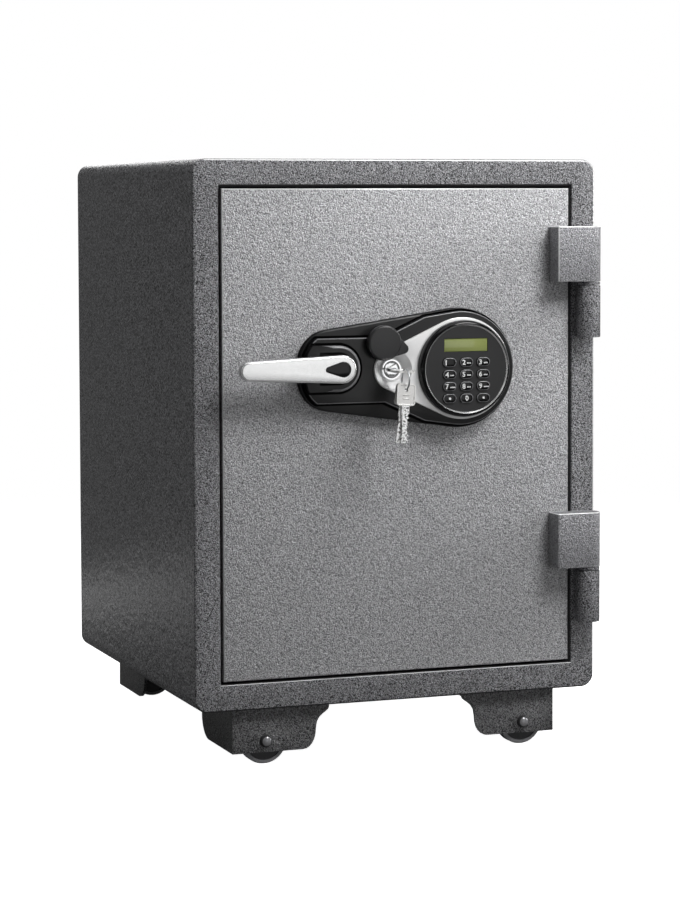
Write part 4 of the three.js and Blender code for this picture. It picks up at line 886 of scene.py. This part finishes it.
def printed(sign, x, z, height):
    """A figure printed on the front of a key, on a place given as its left and its middle."""
    deselect()
    bpy.ops.object.text_add(location=(0, 0, 0))
    text = bpy.context.active_object
    text.data.body = sign
    text.data.extrude = 0.02
    text.data.offset = 0.03
    text.data.resolution_u = 3
    bpy.ops.object.convert(target="MESH")
    figure = bpy.context.active_object
    low = Vector([min(v.co[i] for v in figure.data.vertices) for i in range(3)])
    high = Vector([max(v.co[i] for v in figure.data.vertices) for i in range(3)])
    figure.location = -(low + high) / 2
    bpy.ops.object.transform_apply(location=True, rotation=False, scale=False)
    factor = height * MM / (high.y - low.y)
    width = (high.x - low.x) * factor / MM
    figure.scale = (factor, factor, 0.1 * MM / 0.04)
    figure.rotation_euler = (math.pi / 2, 0, 0)
    figure.location = at(x + width / 2, CAP_FRONT - 0.03, z)
    return settle("figure")


class SAFE_OT_keys(SafePiece, bpy.types.Operator):
    """Twelve sprung keys with printed figures"""

    bl_idname = "safe.keys"
    bl_label = "Keypad keys"

    def build(self, sizes):
        cap = slab("cap", [(-2.3, 0, 4.4), (2.3, 0, 4.4)], CAP_FRONT, FACE_Y + 4.4, sides=48)
        # Each cap's rounding gets a painted highlight as its pale outline
        round_edges(cap, 0.7, 3, edge_at("Y", CAP_FRONT), "burnished_plastic")
        cap.data.materials[0] = finish_of("gloss_plastic")
        front, back = CAP_FRONT - 0.08, CAP_FRONT + 0.02
        for name, (x, z) in key_places().items():
            key = copied(cap, f"button_{name}", move=(x, 0, z))
            if name == "star":
                marks = [bar("spot", (x, z), 1.15, front, back, sides=24)]
            elif name == "hash":
                marks = [block("square", (x - 1, front, z - 1), (x + 1, back, z + 1))]
            else:
                marks = [printed(name, x - 1.5 if name == "0" else x - 4.6, z, 5.0)]
            if name in "23456789":
                for i in range(4 if name in "79" else 3):
                    spot = (x + 0.8 + i * 1.35, z - 0.8)
                    marks.append(bar("dot", spot, 0.66, front, back, sides=8))
            ink = joined("ink", *marks)
            ink.data.materials.clear()
            ink.data.materials.append(finish_of("white_print"))
            joined(f"button_{name}", key, ink)
            dress(key, None, "gloss_black_plastic", f"key_{name}")
        discard(cap)


class SAFE_OT_lever(SafePiece, bpy.types.Operator):
    """Tapered lever with a round tip, its hub and the dark inlay over the pivot"""

    bl_idname = "safe.lever"
    bl_label = "Lever"

    def build(self, sizes):
        x, z = LEVER
        front, back = -33.5, -24.5
        lever = slab("lever", [(x, z, 13.4), (x - 92, z, 9.2)], front, back, sides=128)
        round_edges(lever, sizes.lever_edge / MM, 5, edge_at("Y", front))
        round_edges(lever, 0.8, 2, edge_at("Y", back))
        combine(lever, bar("hub", LEVER, 11, -28, -21.4), "UNION")
        cut(lever, slab("pocket", [(x, z, 7.6), (x - 15, z, 2.9)], -40, -31.5))
        dress(lever, "satin_chrome", "satin_chrome_plate", "lever_handle")
        inlay = slab("inlay", [(x, z, 7.3), (x - 15, z, 2.6)], front, -31.8)
        round_edges(inlay, 0.4, 3, edge_at("Y", front))
        dress(inlay, "gloss_plastic", "matt_black_plastic", "lever_inlay")


class SAFE_OT_keyhole_cover(SafePiece, bpy.types.Operator):
    """Round cover on its pivot, swung clear of the keyhole"""

    bl_idname = "safe.keyhole_cover"
    bl_label = "Keyhole cover"

    def build(self, sizes):
        front, back = -25.8, -19.2
        cover = bar("cover", COVER_DISC, 16.8, front, back, sides=128)
        round_edges(cover, sizes.cover_edge / MM, 5, edge_at("Y", front))
        round_edges(cover, 0.6, 2, edge_at("Y", back))
        lug = slab("lug", [(*COVER_DISC, 15.4), (*COVER_PIVOT, 4.6)], -23.2, -19.3)
        rounded(lug, 0.8, 3, 40)
        combine(cover, lug, "UNION")
        combine(cover, bar("spacer", COVER_PIVOT, 3.5, -22, -18.8), "UNION")
        dress(cover, "cover_plastic", "matt_black_plastic", "keyhole_cover")


class SAFE_OT_key_lock(SafePiece, bpy.types.Operator):
    """Key lock: a flanged cylinder and the plug that turns in it"""

    bl_idname = "safe.key_lock"
    bl_label = "Key lock"

    def build(self, sizes):
        cylinder = turned("cylinder", LOCK, [
            (8.2, -12.2), (9.7, -12.2), (10.1, -11.9), (10.2, -11.5), (10.2, -9.8), (9.2, -9.8),
            (9.2, 34), (8.2, 34)], shut=True)
        dress(cylinder, "bright_chrome", "chrome_plate", "lock_cylinder")
        plug = softened("cylinder_plug", 0.25, 2)
        dress(plug, "bright_chrome", "chrome_plate", "cylinder_plug")


def flat_key(hole, radius):
    """A cut key with its face at y = 0, and a ring hole of this radius this far up."""
    bow = slab("key", [(-6.4, 4.8, 3), (6.4, 4.8, 3), (-6.4, -9.6, 3), (6.4, -9.6, 3)], 0, 2)
    for side in (-1, 1):
        with editing(bow):
            pick(bow, "faces", lambda face: face.normal.y * side > 0.9)
            bpy.ops.mesh.inset(thickness=1.3 * MM, depth=0)
            bpy.ops.mesh.inset(thickness=0.3 * MM, depth=-0.4 * MM)
    blade = block("blade", (-3.8, 0.15, -48), (3.8, 1.85, -11.6))
    round_edges(blade, 2, 3, lambda edge: all(c.co.z < at(0, 0, -47.9).z for c in edge.verts)
                and abs(edge.verts[0].co.x - edge.verts[1].co.x) < 0.1 * MM)
    for i, bite in enumerate((0.9, 1.7, 1.2, 2.0, 1.0, 1.6)):
        cut(blade, bar("bite", (4.9 + 0.9 - bite, -22 - 4.2 * i), 2.0, -2, 4, sides=24))
    cut(blade, block("shoulder", (-6, -2, -60), (-2.9, 4, -24)))
    for side in (-1, 1):
        cut(blade, block("flute", (-0.6 + side * 0.9, 1 + side * 0.45, -60),
                         (0.6 + side * 0.9, 1 + side * 3, -16)))
    rounded(blade, 0.15, 1)
    for part in (bow, blade):
        paint_faces(part, "milled_brass", lambda face: part is blade
                    or 0.3 < abs(face.normal.y) < 0.9)
    combine(bow, blade, "UNION")
    cut(bow, bar("ring_hole", (0, hole), radius, -5, 5, sides=40))
    for low, high in ((-3.4, -2.2), (-6.6, -5.4)):
        ridge = block("ridge", (-3.2, -0.2, low), (3.2, 1.0, high))
        rounded(ridge, 0.3, 2)
        paint_faces(ridge, "milled_brass", lambda face: face.normal.y > -0.9)
        combine(bow, ridge, "UNION")
    return bow


def hung(piece, name, place, turn):
    """A copy of the key, turned about its ring hole and put in place."""
    only(piece)
    bpy.ops.object.duplicate(linked=False)
    key = bpy.context.active_object
    hole = at(0, 0, 0)
    turning = Matrix.Rotation(math.radians(turn[1]), 4, turn[0])
    key.matrix_world = Matrix.Translation(at(*place)) @ turning @ Matrix.Translation(-hole)
    return settle(name)


class SAFE_OT_key_bunch(SafePiece, bpy.types.Operator):
    """The key in the lock, its split ring and two spare keys that hang from it"""

    bl_idname = "safe.key_bunch"
    bl_label = "Keys"

    def build(self, sizes):
        turned_key, key = flat_key(0, 3.8), flat_key(2.1, 1.75)
        dress(hung(turned_key, "key_in_lock", (LOCK[0], -42.6, 319), ("X", 90)), "nickel_brass",
              "satin_chrome_plate", "inserted_key")
        for which, tilt, shift in (("front", 3, -2.3), ("rear", 8, 0.3)):
            lean = math.radians(tilt)
            hole = (LOCK[0] - 2.6 * math.sin(lean), RING[0] + shift,
                    RING[1] - RING_RADIUS - 2.6 * math.cos(lean))
            dress(hung(key, f"key_{which}", hole, ("Y", tilt)), "nickel_brass",
                  "satin_chrome_plate", f"{which}_spare_key")
        discard(key, turned_key)
        dress(split_ring(), "zinc_steel", "zinc_plated_steel", "key_ring")


def split_ring():
    """Two turns of wire side by side, each spun nearly full round."""
    turns = []
    for shift in (-0.38, 0.38):
        middle = at(LOCK[0] + shift, *RING)
        top = at(LOCK[0] + shift, RING[0], RING[1] + RING_RADIUS)
        deselect()
        bpy.ops.mesh.primitive_circle_add(
            vertices=12, radius=0.42 * MM, fill_type="NGON", location=top,
            rotation=(0, 0, math.pi / 2))
        wire = settle("wire")
        with editing(wire):
            bpy.ops.transform.rotate(value=math.pi / 2, orient_axis="X", center_override=top)
            bpy.ops.mesh.spin(steps=72, angle=math.radians(352), axis=(1, 0, 0), center=middle)
            bpy.ops.mesh.select_all(action="SELECT")
            bpy.ops.mesh.normals_make_consistent(inside=False)
        turns.append(wire)
    return joined("split_ring", *turns)


# Nodes whose own shape is right, with the rounding of their edges in millimetres
PLAIN_STEEL = {
    # The frame's near-black enamel is painted shade in the gap round the door
    "front_frame": ("dark_hammered_paint", "frame_enamel", 0.6),
    "back_plate": ("dark_hammered_paint", "cabinet_enamel", 0.5),
    "body_insulation": ("fire_fill", "cast_fill", 0.4),
    "inner_liner": ("inner_paint", "inner_enamel", 0.6),
    "shelf": ("inner_paint", "inner_enamel", 0.4),
    "door_insulation": ("fire_fill", "cast_fill", 0.4),
    "door_back_pan": ("inner_paint", "inner_enamel", 0.5),
    "door_seal": ("seal_rubber", "seal_strip", 0.5),
    "handle_spindle": ("zinc_plated_steel", "zinc_steel", 0.3),
    "bolt_carriage": ("zinc_plated_steel", "zinc_steel", 0.4),
    "lower_live_bolt": ("chrome_plate", "bright_chrome", 0.5),
    "middle_live_bolt": ("chrome_plate", "bright_chrome", 0.5),
    "upper_live_bolt": ("chrome_plate", "bright_chrome", 0.5),
    "lock_solenoid": ("zinc_plated_steel", "zinc_steel", 0.5),
    "battery_box": ("matt_black_plastic", "matt_plastic", 0.8),
}


class SAFE_OT_inside(SafePiece, bpy.types.Operator):
    """Frame, liner, shelf, back of the door, bolt work and fill: the node's shape, softened"""

    bl_idname = "safe.inside"
    bl_label = "Inside and back"

    def build(self, sizes):
        for node, (slot, finish, width) in PLAIN_STEEL.items():
            dress(softened(node, width), finish, slot, node)


class SAFE_OT_stage(SafePiece, bpy.types.Operator):
    """Pale floor, soft studio light and the camera at the view of the picture"""

    bl_idname = "safe.stage"
    bl_label = "Stage"

    def build(self, sizes):
        floor()
        lamps()
        camera()


def floor():
    """A wide disc of matt white card that thins out to nothing at its rim."""
    deselect()
    bpy.ops.mesh.primitive_circle_add(vertices=96, radius=4, fill_type="NGON",
                                      location=(0, 0, 0))
    disc = settle("floor")
    card = bpy.data.materials.new("matt white card")
    card.use_nodes = True
    tree = card.node_tree
    tree.nodes.clear()
    place = add(tree, "ShaderNodeTexCoord").outputs["Object"]
    reach = add(tree, "ShaderNodeVectorMath", {0: place}, operation="LENGTH")
    share = add(tree, "ShaderNodeMapRange", {"Value": reach.outputs["Value"],
                                             "From Min": 0.7, "From Max": 2.2},
                interpolation_type="SMOOTHSTEP")
    white = add(tree, "ShaderNodeBsdfDiffuse", {"Color": (0.92, 0.92, 0.92, 1)})
    dull = add(tree, "ShaderNodeBsdfDiffuse", {"Color": (0.22, 0.22, 0.22, 1)})
    clear = add(tree, "ShaderNodeBsdfTransparent")
    glow = add(tree, "ShaderNodeEmission", {"Strength": 1.0})
    bright = add(tree, "ShaderNodeAddShader", {0: white.outputs[0], 1: glow.outputs[0]})
    seen = add(tree, "ShaderNodeLightPath").outputs["Is Camera Ray"]
    lit = add(tree, "ShaderNodeMixShader", {0: seen, 1: dull.outputs[0], 2: bright.outputs[0]})
    blend = add(tree, "ShaderNodeMixShader", {0: share.outputs[0], 1: lit.outputs[0],
                                              2: clear.outputs[0]})
    add(tree, "ShaderNodeOutputMaterial", {"Surface": blend.outputs[0]})
    disc.data.materials.append(card)


def lamp(name, place, aim, width, height, power):
    """A soft box that faces a point."""
    bpy.ops.object.light_add(type="AREA", location=place)
    light = bpy.context.active_object
    light.name = name
    light.data.shape = "RECTANGLE"
    light.data.size = width
    light.data.size_y = height
    light.data.energy = power
    light.rotation_euler = (Vector(aim) - Vector(place)).to_track_quat("-Z", "Y").to_euler()
    light.visible_camera = False


def lamps():
    middle = (0, -0.1, 0.3)
    lamp("key_box", (0.5, -0.9, 1.28), (0.1, -0.2, 0.42), 0.5, 0.5, 14.5)
    lamp("front_card", (0.75, -2.9, 0.45), middle, 1.7, 1.2, 6.8)
    lamp("right_strip", (1.6, -0.35, 0.8), middle, 0.25, 1.0, 10)
    lamp("left_strip", (-2.2, -0.9, 0.4), middle, 0.1, 1.4, 0.6)
    lamp("low_left", (-0.5, 0.62, 0.03), (-0.2, 0, 0.08), 0.5, 0.05, 0.05)
    lamp("left_box", (-2.0, -1.6, 1.9), middle, 1.2, 1.2, 2.6)
    lamp("top_box", (0, 0.2, 2.4), middle, 1.8, 1.8, 16)
    lamp("back_card", (0.7, 2.6, 0.9), (0, 0.2, 0.3), 1.2, 1.2, 12)
    world = bpy.data.worlds.new("studio")
    bpy.context.scene.world = world
    world.use_nodes = True
    tree = world.node_tree
    tree.nodes.clear()
    seen = add(tree, "ShaderNodeLightPath").outputs["Is Camera Ray"]
    dim = add(tree, "ShaderNodeBackground", {"Color": (1, 1, 1, 1), "Strength": 0.12})
    white = add(tree, "ShaderNodeBackground", {"Color": (1, 1, 1, 1), "Strength": 1.0})
    both = add(tree, "ShaderNodeMixShader", {0: seen, 1: dim.outputs[0], 2: white.outputs[0]})
    add(tree, "ShaderNodeOutputWorld", {"Surface": both.outputs[0]})
    bpy.context.scene.view_settings.view_transform = "Standard"


def camera():
    """A long lens to the left of the safe, turned 20 degrees and tipped a little down."""
    yaw, pitch, roll = (math.radians(value) for value in (20.163, 3.325, -0.181))
    ahead = Vector((math.sin(yaw) * math.cos(pitch), math.cos(yaw) * math.cos(pitch),
                    -math.sin(pitch)))
    right = Vector((math.cos(yaw), -math.sin(yaw), 0))
    up = right.cross(ahead)
    side = right * math.cos(roll) + up * math.sin(roll)
    top = -right * math.sin(roll) + up * math.cos(roll)
    bpy.ops.object.camera_add(location=(0, 0, 0))
    eye = bpy.context.active_object
    stand = at(-926.8, -2359.3, 475.6)
    turning = Matrix((side, top, -ahead)).transposed().to_4x4()
    eye.matrix_world = Matrix.Translation(stand) @ turning
    eye.data.lens = 106.1
    eye.data.sensor_width = 36
    eye.data.shift_y = -0.1
    bpy.context.scene.camera = eye


PIECES = (SAFE_OT_stage, SAFE_OT_cabinet, SAFE_OT_door, SAFE_OT_hinges, SAFE_OT_casters,
          SAFE_OT_lock_plate, SAFE_OT_trim, SAFE_OT_keypad, SAFE_OT_keys, SAFE_OT_lever,
          SAFE_OT_keyhole_cover, SAFE_OT_key_lock, SAFE_OT_key_bunch, SAFE_OT_inside)


class SAFE_PT_pieces(bpy.types.Panel):
    """The pieces of the safe, with the sizes and colours that they take"""

    bl_idname = "SAFE_PT_pieces"
    bl_label = "Fireproof safe"
    bl_space_type = "VIEW_3D"
    bl_region_type = "UI"
    bl_category = "Safe"

    def draw(self, context):
        for group in (context.scene.safe_sizes, context.scene.safe_colours):
            box = self.layout.box()
            for name in group.bl_rna.properties.keys():
                if name not in ("rna_type", "name"):
                    box.prop(group, name)
        for piece in PIECES:
            self.layout.operator(piece.bl_idname)


CLASSES = (SafeSizes, SafeColours, *PIECES, SAFE_PT_pieces)


def register():
    for item in CLASSES:
        bpy.utils.register_class(item)
    bpy.types.Scene.safe_sizes = PointerProperty(type=SafeSizes)
    bpy.types.Scene.safe_colours = PointerProperty(type=SafeColours)


def unregister():
    del bpy.types.Scene.safe_colours
    del bpy.types.Scene.safe_sizes
    for item in reversed(CLASSES):
        bpy.utils.unregister_class(item)


def main():
    register()
    for piece in PIECES:
        group, name = piece.bl_idname.split(".")
        getattr(getattr(bpy.ops, group), name)()


if __name__ == "__main__":
    main()
